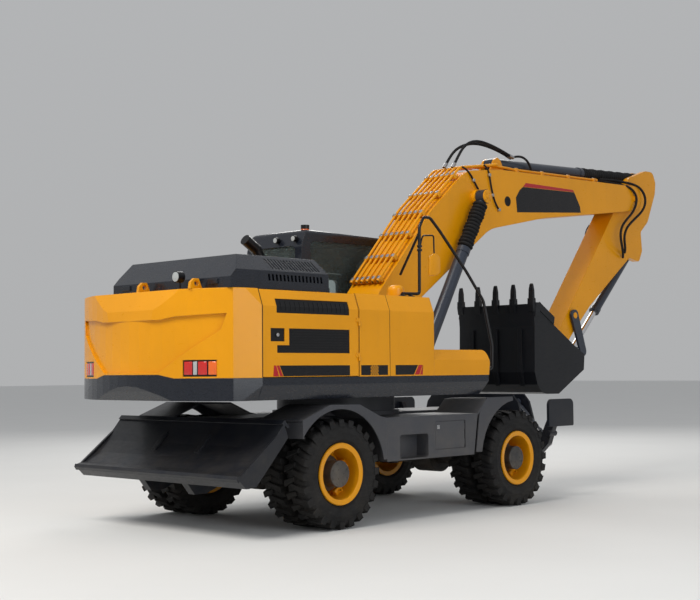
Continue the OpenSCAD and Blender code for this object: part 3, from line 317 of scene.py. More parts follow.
def lens(name, colour):
    """A moulded lamp lens with fine prisms across it."""
    m, net, s, co = material(name)
    d, w = effects(net)
    ribs = net.add("ShaderNodeTexWave", wave_type="BANDS", bands_direction="Z")
    net.put(ribs, "Vector", co)
    net.put(ribs, "Scale", 45.0)
    net.put(s, "Base Color", net.mix(net.math("MULTIPLY", d["Streak"], 0.3), colour, rgb(120, 110, 96)))
    net.put(s, "Roughness", net.ramp(w["Scuff"], 0.0, 1.0, 0.08, 0.2))
    s.inputs["Coat Weight"].default_value = 0.6
    net.put(s, "Normal", net.bump(ribs.outputs["Fac"], 0.35, 0.002))
    return m


def fabric(name, colour):
    """Woven seat cloth."""
    m, net, s, co = material(name)
    weave = net.add("ShaderNodeTexWave", wave_type="BANDS", bands_direction="DIAGONAL")
    net.put(weave, "Vector", co)
    net.put(weave, "Scale", 190.0)
    net.put(weave, "Distortion", 0.8)
    net.put(s, "Base Color", net.mix(weave.outputs["Fac"], colour, darker(colour, 2.2)))
    s.inputs["Roughness"].default_value = 0.9
    s.inputs["Sheen Weight"].default_value = 0.3
    net.put(s, "Normal", net.bump(weave.outputs["Fac"], 0.3, 0.001))
    return m


M = {
    "machine_yellow": paint("machine_yellow", rgb(228, 152, 0), dust=0.05, rough=0.32, coat=0.14, edge=0.012),
    "house_dark": paint("house_dark", rgb(24, 28, 37), dust=0.1, rough=0.28, coat=0.4, edge=0.01),
    "undercarriage_grey": paint("undercarriage_grey", rgb(66, 67, 72), dust=0.34, rough=0.42, coat=0.1,
                                edge=0.008),
    "axle_black": cast("axle_black", rgb(30, 30, 32)),
    "cylinder_blue_grey": paint("cylinder_blue_grey", rgb(44, 50, 62), dust=0.2, rough=0.32, coat=0.3,
                                edge=0.005),
    "rod_chrome": metal("rod_chrome", (0.72, 0.72, 0.74, 1.0), 0.16),
    "pin_steel": metal("pin_steel", (0.45, 0.45, 0.46, 1.0), 0.36),
    "tyre_rubber": rubber("tyre_rubber"),
    "engine_iron": cast("engine_iron", rgb(92, 95, 98), 0.5),
    "cab_glazing": glass("cab_glazing"),
    "seat_fabric": fabric("seat_fabric", rgb(38, 38, 42)),
    "rail_black": paint("rail_black", rgb(14, 14, 17), dust=0.08, rough=0.34, coat=0.06, edge=0.003),
    "hub_black": cast("hub_black", rgb(34, 34, 36), 0.5),
    "hose_rubber": rubber("hose_rubber"),
    "lens_red": lens("lens_red", rgb(190, 18, 12)),
    "lens_orange": lens("lens_orange", rgb(226, 98, 14)),
    "lens_clear": lens("lens_clear", rgb(168, 172, 172)),
    "band_black": paint("band_black", rgb(14, 13, 17), dust=0.06, rough=0.3, coat=0.1, edge=0.001),
    "band_red": paint("band_red", rgb(176, 26, 34), dust=0.15, rough=0.3, coat=0.3, edge=0.001),
    "blade_dark": paint("blade_dark", rgb(20, 24, 33), dust=0.14, rough=0.34, coat=0.14, edge=0.008),
    "mirror_face": metal("mirror_face", (0.8, 0.82, 0.84, 1.0), 0.06),
    "bucket_grey": paint("bucket_grey", rgb(17, 19, 24), dust=0.14, rough=0.4, coat=0.05, edge=0.006),
}

SLOT = {s["node"]: s["material_slot"] for s in frame["record"]["subparts"]}
FINISH = {"blade": "blade_dark", "boom_rods": "cylinder_blue_grey", "arm_rod": "cylinder_blue_grey",
          "outrigger_frame": "blade_dark", "leg_right": "blade_dark", "leg_left": "blade_dark"}
for node, ob in frame["nodes"].items():
    m = M[FINISH.get(node, SLOT[node])]
    for i in range(len(ob.material_slots)):
        ob.material_slots[i].material = m


# ---------------------------------------------------------------- places, in machine millimetres
def P(x, y, z):
    """A place of the machine in mm, as a vector in the frame."""
    return Vector((x / 1000.0 - OX, y / 1000.0, z / 1000.0))


def B(x, y, z):
    """A place on the boom's own centre plane."""
    return P(x, y + BY * 1000.0, z)


ARM_PIN, ARM_AXIS = (5385.0, 3872.0), math.radians(229.42)


def on_arm(s, t):
    """The point s mm along the arm from its pin and t mm across it, as x and z."""
    c, n = math.cos(ARM_AXIS), math.sin(ARM_AXIS)
    return (ARM_PIN[0] + s * c - t * n, ARM_PIN[1] + s * n + t * c)


def along(a, b, d):
    """The point d mm from a towards b, both as x and z."""
    k = d / math.hypot(b[0] - a[0], b[1] - a[1])
    return (a[0] + (b[0] - a[0]) * k, a[1] + (b[1] - a[1]) * k)


# ---------------------------------------------------------------- mesh helpers
def piece(name, bm, mats, body, sharp=38.0):
    """A new object from a bmesh, riding on a body, or on none when no body is given."""
    bmesh.ops.recalc_face_normals(bm, faces=bm.faces)
    me = bpy.data.meshes.new(name)
    bm.to_mesh(me)
    bm.free()
    for m in mats:
        me.materials.append(M[m])
    me.shade_smooth()
    me.set_sharp_from_angle(angle=math.radians(sharp))
    ob = bpy.data.objects.new(name, me)
    scene.collection.objects.link(ob)
    if body:
        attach(ob, body)
    return ob


def turn_to(axis):
    """The turn that takes z to an axis."""
    return Vector(axis).normalized().to_track_quat("Z", "Y").to_matrix().to_4x4()


def add_rod(bm, a, b, r, ring=16, bevel=0.0):
    """A round bar between two points, its rims bevelled."""
    d = b - a
    m = Matrix.Translation((a + b) / 2) @ turn_to(d)
    made = bmesh.ops.create_cone(bm, cap_ends=True, segments=ring, radius1=r, radius2=r,
                                 depth=d.length, matrix=m)
    if bevel:
        faces = list({f for v in made["verts"] for f in v.link_faces})
        rims = list({e for f in faces if len(f.verts) > 4 for e in f.edges})
        bmesh.ops.bevel(bm, geom=rims, offset=bevel, segments=2, profile=0.5, affect="EDGES", material=-1)


def add_box(bm, lo, hi, bevel=0.0, mat=0, segments=2, matrix=None):
    """A box between two corners, its edges bevelled, then moved by a matrix."""
    lo, hi = Vector(lo), Vector(hi)
    size = hi - lo
    m = Matrix.Translation((lo + hi) / 2) @ Matrix.Diagonal((abs(size[0]), abs(size[1]), abs(size[2]), 1.0))
    made = bmesh.ops.create_cube(bm, size=1.0, matrix=m)
    verts = made["verts"]
    faces = list({f for v in verts for f in v.link_faces})
    for f in faces:
        f.material_index = mat
    if matrix is not None:
        bmesh.ops.transform(bm, matrix=matrix, verts=verts)
    if bevel:
        edges = list({e for f in faces for e in f.edges})
        bmesh.ops.bevel(bm, geom=edges, offset=bevel, segments=segments, profile=0.5, affect="EDGES",
                        material=-1)


def add_bolt(bm, at, axis, r):
    """A hexagon head on its washer."""
    a = Vector(axis).normalized()
    for k, h, ring in ((1.35, 0.25, 12), (1.0, 0.95, 6)):
        bmesh.ops.create_cone(bm, cap_ends=True, segments=ring, radius1=r * k, radius2=r * k * 0.94,
                              depth=r * h, matrix=Matrix.Translation(at + a * (r * h / 2)) @ turn_to(a))


def add_tube(bm, points, r, ring=3, steps=10):
    """A round tube on one smooth curve through the points' control polygon."""
    cu = bpy.data.curves.new("route", "CURVE")
    cu.dimensions = "3D"
    sp = cu.splines.new("NURBS")
    sp.points.add(len(points) - 1)
    for q, p in zip(sp.points, points):
        q.co = (p[0], p[1], p[2], 1.0)
    sp.order_u = min(4, len(points))
    sp.use_endpoint_u = True
    sp.resolution_u = steps
    cu.bevel_depth = r
    cu.bevel_resolution = ring
    cu.use_fill_caps = True
    ob = bpy.data.objects.new("route", cu)
    me = bpy.data.meshes.new_from_object(ob)
    bm.from_mesh(me)
    bpy.data.objects.remove(ob)
    bpy.data.curves.remove(cu)
    bpy.data.meshes.remove(me)


def eased(points, r):
    """Control points that keep the straight runs straight and round each bend by about r."""
    out = [points[0]]
    for a, p, b in zip(points, points[1:], points[2:]):
        u, v = (a - p), (b - p)
        ku, kv = min(r, u.length * 0.45), min(r, v.length * 0.45)
        u.normalize()
        v.normalize()
        out += [p + u * ku, p + u * ku * 0.9, p, p + v * kv * 0.9, p + v * kv]
    return out + [points[-1]]


def lathe(bm, section, centre, steps, side):
    """A closed section of radius and outward distance, spun about a wheel's axle."""
    verts = [bm.verts.new(centre + Vector((0.0, side * y, r))) for r, y in section]
    edges = [bm.edges.new((a, b)) for a, b in zip(verts, verts[1:] + verts[:1])]
    bmesh.ops.spin(bm, geom=verts + edges, cent=centre, axis=(0.0, 1.0, 0.0), angle=math.tau, steps=steps,
                   use_merge=True)


def ring_copies(bm, verts, centre, count):
    """Copies of a solid all round a wheel's axle."""
    geom = list({g for v in verts for g in [v, *v.link_edges, *v.link_faces]})
    bmesh.ops.spin(bm, geom=geom, cent=centre, axis=(0.0, 1.0, 0.0), angle=math.tau * (count - 1) / count,
                   steps=count - 1, use_duplicate=True)


# ---------------------------------------------------------------- wheels
TYRE_R, TYRE_W, RIM_R = 0.527, 0.139, 0.298
TWIN_PLANES = (1.130, 0.810)    # middle of the outer and the inner tyre, m
LUGS = 24
HUB_BOLTS, WHEEL_NUTS, WEDGES = 8, 12, 5


def add_lug(bm, centre, side, end):
    """One shoulder lug: a bar from the middle of the tread over the shoulder, wider at its foot."""
    w = TYRE_W * end * side
    root = TYRE_R - 0.034
    made = bmesh.ops.create_cube(bm, size=1.0)
    verts = made["verts"]
    for v in verts:
        out, ahead, top = v.co.y > 0, v.co.x > 0, v.co.z > 0
        y = w * (0.93 if top else 0.985) if out else -w * 0.12
        skew = 0.0 if out else 0.05
        wide = (0.031 if top else 0.038) if out else (0.021 if top else 0.029)
        r = (TYRE_R - (0.007 if out else 0.0005)) if top else root - (0.045 if out else 0.0)
        off = (wide if ahead else -wide) + skew
        v.co = Vector((off, y, math.sqrt(r * r - off * off))) + centre
    floor = centre.z + root + 0.01
    edges = list({e for v in verts for e in v.link_edges if all(q.co.z > floor for q in e.verts)})
    more = bmesh.ops.bevel(bm, geom=edges, offset=0.005, segments=1, profile=0.5, affect="EDGES", material=-1)
    return list({v for v in verts if v.is_valid} | set(more["verts"]))


def make_tyres(corner, x, side):
    """The two tyres of one corner, with their lugs."""
    bm = bmesh.new()
    w, t = TYRE_W, TYRE_R
    half = [(RIM_R - 0.036, w - 0.05), (RIM_R + 0.004, w - 0.03), (RIM_R + 0.022, w - 0.018),
            (RIM_R + 0.03, w - 0.009), (RIM_R + 0.042, w - 0.007), (RIM_R + 0.09, w - 0.003),
            (RIM_R + 0.096, w - 0.0004), (RIM_R + 0.104, w - 0.0004), (RIM_R + 0.11, w - 0.003),
            (RIM_R + 0.14, w - 0.004), (t - 0.075, w - 0.008), (t - 0.05, w - 0.018), (t - 0.036, w - 0.036),
            (t - 0.028, w - 0.07), (t - 0.025, 0.0)]
    section = half + [(r, -y) for r, y in reversed(half[:-1])]
    for y in TWIN_PLANES:
        centre = Vector((x - OX, side * y, TYRE_R))
        lathe(bm, section, centre, 72, side)
        for end in (1, -1):
            verts = add_lug(bm, centre, side, end)
            if end < 0:
                bmesh.ops.rotate(bm, verts=verts, cent=centre, matrix=Matrix.Rotation(math.pi / LUGS, 3, "Y"))
            ring_copies(bm, verts, centre, LUGS)
    ob = piece("tyre_pair_" + corner, bm, ["tyre_rubber"], "wheel_" + corner, 30.0)
    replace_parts(ob, "tyres_" + corner)


def make_hub(corner, x, side):
    """The dark planetary hub with its cover plate, bolts, and wheel nuts."""
    bm = bmesh.new()
    centre = Vector((x - OX, 0.0, TYRE_R))
    out = Vector((0.0, side, 0.0))
    section = [(0.001, 1.239), (0.082, 1.239), (0.087, 1.2365), (0.123, 1.2365), (0.128, 1.231),
               (0.128, 1.10), (0.155, 1.085), (0.175, 1.06), (0.175, 1.03), (0.001, 1.03)]
    lathe(bm, section, centre, 56, side)
    for i in range(HUB_BOLTS):
        a = math.tau * (i + 0.5) / HUB_BOLTS
        add_bolt(bm, centre + out * 1.2362 + Vector((math.cos(a), 0.0, math.sin(a))) * 0.104, out, 0.0075)
    for i in range(WHEEL_NUTS):
        a = math.tau * i / WHEEL_NUTS
        add_bolt(bm, centre + out * 1.0405 + Vector((math.cos(a), 0.0, math.sin(a))) * 0.15, out, 0.013)
    for i in range(3):
        a = math.tau * i / 3
        at = centre + out * 1.2388 + Vector((math.cos(a), 0.0, math.sin(a))) * 0.05
        add_bolt(bm, at, out, 0.006)
    piece("hub_" + corner, bm, ["hub_black"], "wheel_" + corner, 32.0)
    bm = bmesh.new()
    for i in range(WEDGES):
        a = math.tau * (i + 0.25) / WEDGES
        d = Vector((math.cos(a), 0.0, math.sin(a)))
        m = Matrix.Translation(centre + out * 1.07 + d * 0.213) @ turn_to(d)
        add_box(bm, (-0.022, -0.05, -0.03), (0.022, 0.05, 0.03), 0.008, matrix=m)
        add_rod(bm, centre + out * 1.12 + d * 0.205, centre + out * 1.145 + d * 0.205, 0.011, 6)
    piece("rim_wedges_" + corner, bm, ["machine_yellow"], "wheel_" + corner, 32.0)


for corner, x, side in (("front_right", HALF_BASE, -1), ("front_left", HALF_BASE, 1),
                        ("rear_right", -HALF_BASE, -1), ("rear_left", -HALF_BASE, 1)):
    make_tyres(corner, x, side)
    make_hub(corner, x, side)


# ---------------------------------------------------------------- boom pipes, hoses and sleeves
PIPE_PATH = [(110, 2480), (920, 3362), (1570, 3900), (2290, 4010)]
NOSE_PATH = [(2290, 4010), (2640, 4010), (2720, 4005), (4620, 4065)]
LANES = (-200, -120, -40, 40, 120, 200)


def make_pipes():
    """Oil pipes along the boom's back in their clamps."""
    bm = bmesh.new()
    for i, y in enumerate(LANES):
        path = PIPE_PATH + (NOSE_PATH[1:] if i in (1, 4) else [])
        add_tube(bm, eased([B(x, y, z) for x, z in path], 0.09), 0.0165, 3, 4)
        far = (4620, 4065, -1900, -60) if i in (1, 4) else (2290, 4010, -800, -60)
        for x, z, nx, nz in ((110, 2480, 880, 960), far):
            n = Vector((nx, 0.0, nz)).normalized()
            add_rod(bm, B(x, y, z), B(x, y, z) + n * 0.045, 0.023, 6)
    steel = bmesh.new()
    rows = [(PIPE_PATH[0], PIPE_PATH[1], (0.04, 0.33, 0.64, 0.93), LANES),
            (PIPE_PATH[1], PIPE_PATH[2], (0.35, 0.8), LANES),
            (NOSE_PATH[2], NOSE_PATH[3], (0.03, 0.32, 0.63, 0.95), (-120, 120))]
    for a, b, stations, lanes in rows:
        turn = Matrix.Rotation(-math.atan2(b[1] - a[1], b[0] - a[0]), 4, "Y")
        for t in stations:
            at = (a[0] + t * (b[0] - a[0]), a[1] + t * (b[1] - a[1]))
            for y in lanes:
                m = Matrix.Translation(B(at[0], y, at[1])) @ turn
                add_box(bm, (-0.026, -0.026, -0.045), (0.026, 0.026, 0.019), 0.004, matrix=m)
                add_box(steel, (-0.021, -0.022, 0.0185), (0.021, 0.022, 0.0225), 0.0015, matrix=m)
                for k in (-0.012, 0.012):
                    add_bolt(steel, m @ Vector((k, 0.0, 0.0225)), m.to_3x3() @ Vector((0, 0, 1)), 0.006)
            m = Matrix.Translation(B(at[0], 0, at[1])) @ turn
            if len(lanes) > 2:
                ends = lanes[0] / 1000 - 0.027, lanes[-1] / 1000 + 0.027
                add_box(bm, (-0.026, ends[0], -0.0455), (0.026, ends[1], -0.036), 0.003, matrix=m)
    ob = piece("oil_pipes", bm, ["machine_yellow"], "boom")
    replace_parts(ob, "boom_pipes")
    piece("pipe_clamp_plates", steel, ["pin_steel"], "boom")


def make_boom_hoses():
    """Hoses over the boom's peak and down its right side, with their fittings."""
    bm = bmesh.new()
    fit = bmesh.new()
    for y0, y1, rise in ((-60, -100, 0), (20, -60, -60)):
        mid, lift = (y0 + y1) / 2, rise / 2
        route = [(1600 + rise, y0, 3915), (1680 + rise, y0, 4010), (1790 + rise, y0, 4200 + lift),
                 (2020, mid, 4306 + lift), (2330, mid, 4276), (2560, y1, 4215), (2700, y1, 4175)]
        add_tube(bm, [B(*q) for q in route], 0.017, 3, 8)
        add_rod(fit, B(*route[0]), B(1645 + rise, y0, 3968), 0.024, 6)
        add_rod(fit, B(2680, y1, 4181), B(2760, y1, 4163), 0.024, 6)
    route = ((2750, -100, 4166), (2850, -118, 4195), (2990, -122, 4190), (3080, -122, 4110),
             (3110, -122, 4035))
    add_tube(bm, [B(*q) for q in route], 0.015, 3, 8)
    side = -268
    for route in (((1590, -215, 3905), (1640, -262, 3870), (1720, side, 3780), (1795, side, 3690),
                   (1830, side, 3655)),
                  ((2010, -215, 3975), (2040, -262, 3930), (2060, side, 3800), (2110, side, 3600),
                   (2180, side, 3480), (2240, side, 3440))):
        add_tube(bm, [B(*q) for q in route], 0.011, 3, 8)
    for x, z in ((1740, 3755), (2050, 3850), (2105, 3610), (2230, 3444)):
        m = Matrix.Translation(B(x, -258, z))
        add_box(fit, (-0.018, -0.024, -0.018), (0.018, 0.008, 0.018), 0.003, matrix=m)
    piece("boom_hoses", bm, ["hose_rubber"], "boom")
    piece("hose_fittings", fit, ["pin_steel"], "boom")


def corrugated(bm, a, b, r, pitch, depth, y):
    """A sleeve of round folds between two points of the boom's plane."""
    n = max(6, int(math.hypot(b[0] - a[0], b[1] - a[1]) / pitch))
    pa, pb = B(a[0], y, a[1]), B(b[0], y, b[1])
    axis = pb - pa
    step = axis / (4 * n)
    turn = turn_to(axis)
    loops = []
    for i in range(4 * n + 1):
        k = r + depth * (0.0 if i % 4 == 0 else (0.8 if i % 2 else 1.0))
        k *= 1.0 + 0.05 * math.sin(i * 0.37)
        made = bmesh.ops.create_circle(bm, segments=20, radius=k,
                                       matrix=Matrix.Translation(pa + step * i) @ turn)
        loops.append(made["verts"])
    for u, v in zip(loops, loops[1:]):
        eu = list({e for q in u for e in q.link_edges if all(w in u for w in e.verts)})
        ev = list({e for q in v for e in q.link_edges if all(w in v for w in e.verts)})
        bmesh.ops.bridge_loops(bm, edges=eu + ev)
    for end in (loops[0], loops[-1]):
        bmesh.ops.contextual_create(bm, geom=list({e for q in end for e in q.link_edges
                                                   if all(w in end for w in e.verts)}))


def make_sleeves():
    """Folded sleeves over the rods of the boom and arm cylinders."""
    foot = (550, 1450)
    top = on_arm(-635, 210)
    arm_foot = (2440, 4050)
    for n, y in (("right", -CYLINDER_Y), ("left", CYLINDER_Y)):
        bm = bmesh.new()
        a, b = along(foot, BOOM_HEAD, 1712), along(foot, BOOM_HEAD, 2335)
        corrugated(bm, a, b, 0.062, 46.0, 0.03, y)
        ob = piece("boom_rod_sleeve_" + n, bm, ["hose_rubber"], None, 60.0)
        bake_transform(ob)
    bm = bmesh.new()
    length = math.hypot(top[0] - arm_foot[0], top[1] - arm_foot[1])
    a, b = along(arm_foot, top, 1962), along(arm_foot, top, length - 80)
    corrugated(bm, a, b, 0.06, 52.0, 0.022, 0)
    ob = piece("arm_rod_sleeve", bm, ["hose_rubber"], None, 60.0)
    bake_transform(ob)


def make_nose_hoses():
    """Two hoses a side from the boom's nose over the arm's pin."""
    routes = (((4700, 120, 4062), (4850, 150, 4062), (5080, 200, 4040), (5230, 270, 4025), (5420, 283, 3900),
               (5300, 283, 3664), (4960, 283, 3480), (4915, 283, 3280), (5060, 250, 3110), (5150, 180, 3040)),
              ((4700, 120, 4085), (4900, 150, 4100), (5250, 200, 4090), (5480, 270, 4060), (5640, 283, 3905),
               (5560, 283, 3700), (5120, 283, 3490), (4995, 283, 3290), (5120, 250, 3160), (5200, 180, 3110)))
    for n, side in (("right", -1), ("left", 1)):
        for i, route in enumerate(routes):
            bm = bmesh.new()
            add_tube(bm, [B(x, y * side, z) for x, y, z in route], 0.017, 3, 8)
            ob = piece("nose_hose_%s_%d" % (n, i + 1), bm, ["hose_rubber"], None)
            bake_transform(ob)


make_pipes()
make_boom_hoses()
make_sleeves()
make_nose_hoses()


# ---------------------------------------------------------------- house
def make_lights():
    """Tail lenses, work lamp glasses and the beacon's dome."""
    bm = bmesh.new()
    tail = Vector((-0.718 - OX, 0.0, 0.0))
    for side in (-1, 1):
        spans = ((0.70, 0.785, 1), (0.79, 0.83, 0), (0.835, 0.925, 1), (0.93, 1.01, 2))
        for y0, y1, mat in spans:
            mid = side * (y0 + y1) / 2
            a = math.asin(mid / 2.257)
            place = tail + Vector((-2.251 * math.cos(a), mid, 1.541))
            m = Matrix.Translation(place) @ Matrix.Rotation(-a, 4, "Z")
            add_box(bm, (-0.004, -(y1 - y0) / 2, -0.06), (0.03, (y1 - y0) / 2, 0.06), 0.006, mat, 3, m)
    piece("tail_lenses", bm, ["lens_clear", "lens_red", "lens_orange"], "house")
    bm = bmesh.new()
    for y in (430, 720):
        add_rod(bm, P(-420, y, 2975), P(-423, y, 2975), 0.029, 20, 0.001)
    add_rod(bm, P(-2841, -560, 2378), P(-2846, -560, 2378), 0.045, 24, 0.0015)
    piece("work_lamp_glass", bm, ["lens_clear"], "house")
    bm = bmesh.new()
    at = P(-250, 410, 3080)
    lathe_z(bm, [(0.001, 0.056), (0.02, 0.056), (0.036, 0.05), (0.044, 0.036), (0.0485, 0.006), (0.05, 0.0),
                 (0.001, 0.0)], at, 32)
    piece("beacon_dome", bm, ["lens_orange"], "house")


def lathe_z(bm, section, at, steps):
    """A section of radius and height, spun about an upright axis."""
    verts = [bm.verts.new(at + Vector((r, 0.0, z))) for r, z in section]
    edges = [bm.edges.new((a, b)) for a, b in zip(verts, verts[1:])]
    bmesh.ops.spin(bm, geom=verts + edges, cent=at, axis=(0.0, 0.0, 1.0), angle=math.tau, steps=steps,
                   use_merge=True)


RAIL_Y = -1100    # plane of the handrail, mm
RAIL = [(-330, RAIL_Y, 2294), (-60, RAIL_Y, 2300), (-50, RAIL_Y, 3005), (20, RAIL_Y, 3110),
        (120, RAIL_Y, 3115), (275, RAIL_Y, 2990), (706, RAIL_Y - 10, 2578), (940, RAIL_Y - 60, 2260), (1000, RAIL_Y - 125, 1765),
        (990, RAIL_Y - 125, 1520), (900, RAIL_Y - 125, 1510)]


def make_rail():
    """The handrail with its feet, and the mirror on it."""
    bm = bmesh.new()
    add_tube(bm, eased([P(*q) for q in RAIL], 0.06), 0.0165, 3, 3)
    add_tube(bm, [P(-50, RAIL_Y, 2945), P(-20, -800, 2520)], 0.014, 3, 2)
    add_tube(bm, eased([P(*q) for q in ((-48, RAIL_Y, 2780), (0, RAIL_Y, 2915), (180, RAIL_Y, 2930),
                                        (185, RAIL_Y, 2720))], 0.05), 0.0085, 3, 3)
    for z in (2760, 2800):
        add_rod(bm, P(-50, RAIL_Y, z - 12), P(-50, RAIL_Y, z + 12), 0.027, 16, 0.003)
    for x in (-330, -200):
        add_rod(bm, P(x, RAIL_Y, 2260), P(x, RAIL_Y, 2272), 0.045, 20, 0.003)
        add_rod(bm, P(x, RAIL_Y, 2270), P(x, RAIL_Y, 2294), 0.02, 16)
        for k in (-28, 28):
            add_bolt(bm, P(x + k, RAIL_Y, 2272), (0, 0, 1), 0.007)
    outline = [(95, 2500), (95, 2700), (195, 2745), (275, 2700), (275, 2540), (200, 2500)]
    verts = [bm.verts.new(P(x, RAIL_Y + 15, z)) for x, z in outline]
    face = bm.faces.new(verts)
    back = bmesh.ops.extrude_face_region(bm, geom=[face])
    moved = [g for g in back["geom"] if isinstance(g, bmesh.types.BMVert)]
    bmesh.ops.translate(bm, verts=moved, vec=(0.0, -0.03, 0.0))
    shell = list({f for v in verts + moved for f in v.link_faces})
    for f in shell:
        f.material_index = 1
    ends = list({e for f in shell for e in f.edges})
    bmesh.ops.bevel(bm, geom=ends, offset=0.012, segments=3, profile=0.5, affect="EDGES", material=-1)
    ob = piece("rail_and_mirror", bm, ["rail_black", "machine_yellow"], "house")
    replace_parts(ob, "handrail")
    bm = bmesh.new()
    add_box(bm, P(112, RAIL_Y + 14, 2530), P(262, RAIL_Y + 16, 2690), 0.0008)
    piece("mirror_glass", bm, ["mirror_face"], "house")


def plate(bm, outline, y, t, mat=0):
    """A flat outline in x and z, standing t out from the right-hand face y."""
    face = bm.faces.new([bm.verts.new(P(x, y, z)) for x, z in outline])
    more = bmesh.ops.extrude_face_region(bm, geom=[face])
    verts = [g for g in more["geom"] if isinstance(g, bmesh.types.BMVert)]
    bmesh.ops.translate(bm, verts=verts, vec=(0.0, -t, 0.0))
    for f in {f for v in list(face.verts) + verts for f in v.link_faces}:
        f.material_index = mat


def make_bands():
    """Dark bands with red slanted bars low on the right side, and the boom's plate."""
    face, z0, z1 = HOUSE_SIDE, 1462, 1560
    bm = bmesh.new()
    plate(bm, [(-2142, z0), (-1270, z0), (-1270, z1), (-2191, z1)], face, 0.0012)
    plate(bm, [(-2270, z0), (-2200, z0), (-2235, z1), (-2262, z1)], face, 0.0014, 1)
    plate(bm, [(-2185, z0), (-2150, z0), (-2198, z1), (-2228, z1)], face, 0.0014, 1)
    piece("door_band", bm, ["band_black", "band_red"], "engine_door")
    bm = bmesh.new()
    plate(bm, [(-1112, z0), (-726, z0), (-726, z1), (-1112, z1)], face, 0.0012)
    size = 16
    for i in range(7):
        for j in range(6):
            if (i + j) % 2 == 0:
                x, z = -978 + size * i, z0 + 1 + size * j
                plate(bm, [(x, z), (x + size, z), (x + size, z + size), (x, z + size)], face - 1.2, 0.0006, 2)
    plate(bm, [(-612, z0), (-335, z0), (-270, z1), (-612, z1)], face, 0.0012)
    plate(bm, [(-322, z0), (-250, z0), (-200, z1), (-257, z1)], face, 0.0012, 1)
    plate(bm, [(-240, z0), (-198, z0), (-198, z1), (-190, z1)], face, 0.0012, 1)
    piece("tank_bands", bm, ["band_black", "band_red", "machine_yellow"], "house")
    bm = bmesh.new()
    plate(bm, [(2600, 3628), (2622, 3447), (4023, 3560), (4010, 3640), (3880, 3815), (2752, 3776),
               (2680, 3730)], BOOM_SIDE, 0.0014)
    plate(bm, [(2752, 3780), (3880, 3819), (3850, 3845), (2815, 3832)], BOOM_SIDE, 0.0014, 1)
    piece("boom_band", bm, ["band_black", "band_red"], "boom")
    bm = bmesh.new()
    add_rod(bm, P(2430, -399, 3567), P(2430, -401.5, 3567), 0.062, 28)
    piece("boom_port", bm, ["hose_rubber"], "boom")


def make_seams():
    """Black rubber in the gaps between the right side's panels, the latches, and the boom pins' caps."""
    bm = bmesh.new()
    edge = [(-1251, 1452), (-1251, 2101), (-1191, 2261), (-1180, 2261), (-1180, 2240), (-1240, 2096),
            (-1240, 1452)]
    for x, wide in ((-2403, 7), (-1137, 5), (-694, 4)):
        face = bm.faces.new([bm.verts.new(P(x, y, z)) for y, z in edge])
        more = bmesh.ops.extrude_face_region(bm, geom=[face])
        bmesh.ops.translate(bm, verts=[g for g in more["geom"] if isinstance(g, bmesh.types.BMVert)],
                            vec=(wide / 1000, 0.0, 0.0))
    piece("panel_seams", bm, ["hose_rubber"], "house")
    bm = bmesh.new()
    add_rod(bm, P(-2213, -1248, 1840), P(-2213, -1256, 1840), 0.017, 20, 0.002)
    add_rod(bm, P(-2213, -1255, 1840), P(-2213, -1259, 1840), 0.008, 12, 0.001)
    piece("door_latch", bm, ["pin_steel"], "engine_door")
    bm = bmesh.new()
    add_box(bm, P(22, -1253.5, 898), P(62, -1250, 938), 0.001)
    add_rod(bm, P(42, -1253, 918), P(42, -1258, 918), 0.012, 20, 0.0015)
    piece("locker_latch", bm, ["pin_steel"], "locker_door")
    bm = bmesh.new()
    x, z = BOOM_HEAD
    for side in (-1, 1):
        add_rod(bm, B(x, side * 424, z), B(x, side * 438, z), 0.08, 32, 0.004)
        add_rod(bm, B(x, side * 437, z), B(x, side * 443, z), 0.03, 20, 0.002)
        for i in range(4):
            a = math.tau * (i + 0.5) / 4
            add_bolt(bm, B(x + 58 * math.cos(a), side * 438, z + 58 * math.sin(a)), (0, side, 0), 0.008)
    piece("boom_pin_caps", bm, ["machine_yellow"], "boom")


make_bands()
make_seams()
make_lights()
make_rail()


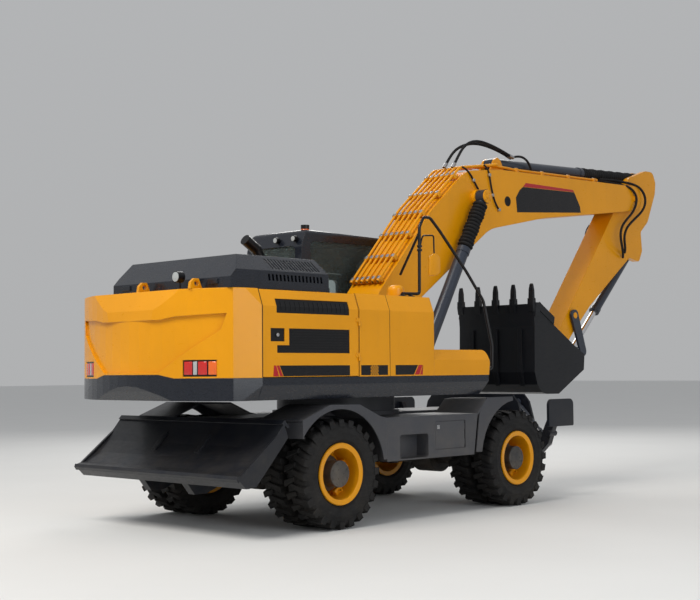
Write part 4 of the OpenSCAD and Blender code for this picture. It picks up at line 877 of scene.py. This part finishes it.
def make_seat():
    """The driver's seat: padded cushion, backrest and head pad on their base."""
    bm = bmesh.new()
    for lo, hi in (((262, 562, 1800), (738, 1008, 1960)), ((228, 562, 1985), (312, 1008, 2480)),
                   ((232, 640, 2490), (300, 930, 2588))):
        add_box(bm, P(*lo), P(*hi), 0.03, segments=4)
    me = bpy.data.meshes.new("seat_pads")
    bm.to_mesh(me)
    bm.free()
    me.materials.append(M["seat_fabric"])
    ob = bpy.data.objects.new("seat_pads", me)
    scene.collection.objects.link(ob)
    rm = ob.modifiers.new("remesh", "REMESH")
    rm.mode = "VOXEL"
    rm.voxel_size = 0.006
    bpy.context.view_layer.update()
    dg = bpy.context.evaluated_depsgraph_get()
    soft = bpy.data.meshes.new_from_object(ob.evaluated_get(dg))
    ob.modifiers.clear()
    ob.data = soft
    before = [v.co.copy() for v in soft.vertices]
    cl = ob.modifiers.new("cloth", "CLOTH")
    cl.settings.use_pressure = True
    cl.settings.uniform_pressure_force = 4.0
    cl.settings.effector_weights.gravity = 0.0
    cl.settings.quality = 5
    for f in range(1, 21):
        scene.frame_set(f)
    dg = bpy.context.evaluated_depsgraph_get()
    blown = bpy.data.meshes.new_from_object(ob.evaluated_get(dg))
    ob.modifiers.clear()
    ob.data = blown
    scene.frame_set(1)
    for v, c in zip(blown.vertices, before):
        d = v.co - c
        if d.length > 0.012:
            v.co = c + d.normalized() * 0.012
    ob.data.shade_smooth()
    sub = ob.modifiers.new("fine", "SUBSURF")
    sub.levels = sub.render_levels = 1
    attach(ob, "house")
    base = bmesh.new()
    add_box(base, P(320, 600, 1521), P(680, 970, 1640), 0.02)
    add_box(base, P(280, 570, 1640), P(720, 1000, 1795), 0.015)
    for y in (545, 1025):
        add_box(base, P(300, y - 14, 2010), P(620, y + 14, 2060), 0.012)
    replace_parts(piece("seat_base", base, ["rail_black"], "house"), "cab_seat")


make_seat()


# ---------------------------------------------------------------- floor and light
def make_floor():
    """A plain pale floor."""
    me = bpy.data.meshes.new("floor")
    bm = bmesh.new()
    bmesh.ops.create_grid(bm, x_segments=1, y_segments=1, size=120.0)
    bm.to_mesh(me)
    bm.free()
    ob = bpy.data.objects.new("floor", me)
    scene.collection.objects.link(ob)
    m, net, s, co = material("floor_plain")
    patches = net.noise(co, 0.7, 3.0, 0.5)
    net.put(s, "Base Color", net.mix(patches, (0.66, 0.66, 0.65, 1.0), (0.7, 0.7, 0.69, 1.0)))
    s.inputs["Roughness"].default_value = 0.85
    me.materials.append(m)


def make_world():
    """Even light from a pale sky."""
    w = bpy.data.worlds.new("studio")
    scene.world = w
    w.use_nodes = True
    net = Net(w.node_tree)
    bg = w.node_tree.nodes["Background"]
    z = net.split(net.add("ShaderNodeTexCoord").outputs["Generated"])[2]
    sky = net.mix(net.ramp(z, -0.05, 0.75), (0.86, 0.87, 0.88, 1.0), (0.95, 0.97, 1.0, 1.0))
    net.put(bg, "Color", sky)
    bg.inputs["Strength"].default_value = 0.5


def area(name, place, target, size, watts, colour):
    """A square lamp turned to its target."""
    d = bpy.data.lights.new(name, "AREA")
    d.energy = watts
    d.size = size
    d.color = colour
    ob = bpy.data.objects.new(name, d)
    scene.collection.objects.link(ob)
    ob.location = place
    ob.rotation_euler = (Vector(target) - Vector(place)).to_track_quat("-Z", "Y").to_euler()


make_floor()
make_world()
area("key", (-12.0, -1.0, 13.0), (0.0, 0.0, 1.2), 7.0, 1750.0, (1.0, 0.97, 0.92))
area("fill", (-4.0, -15.0, 5.0), (0.0, 0.0, 1.6), 8.0, 560.0, (0.92, 0.96, 1.0))
area("rim", (9.0, 9.0, 10.0), (0.0, 0.0, 2.0), 7.0, 800.0, (1.0, 0.99, 0.96))
scene.view_settings.view_transform = "Standard"
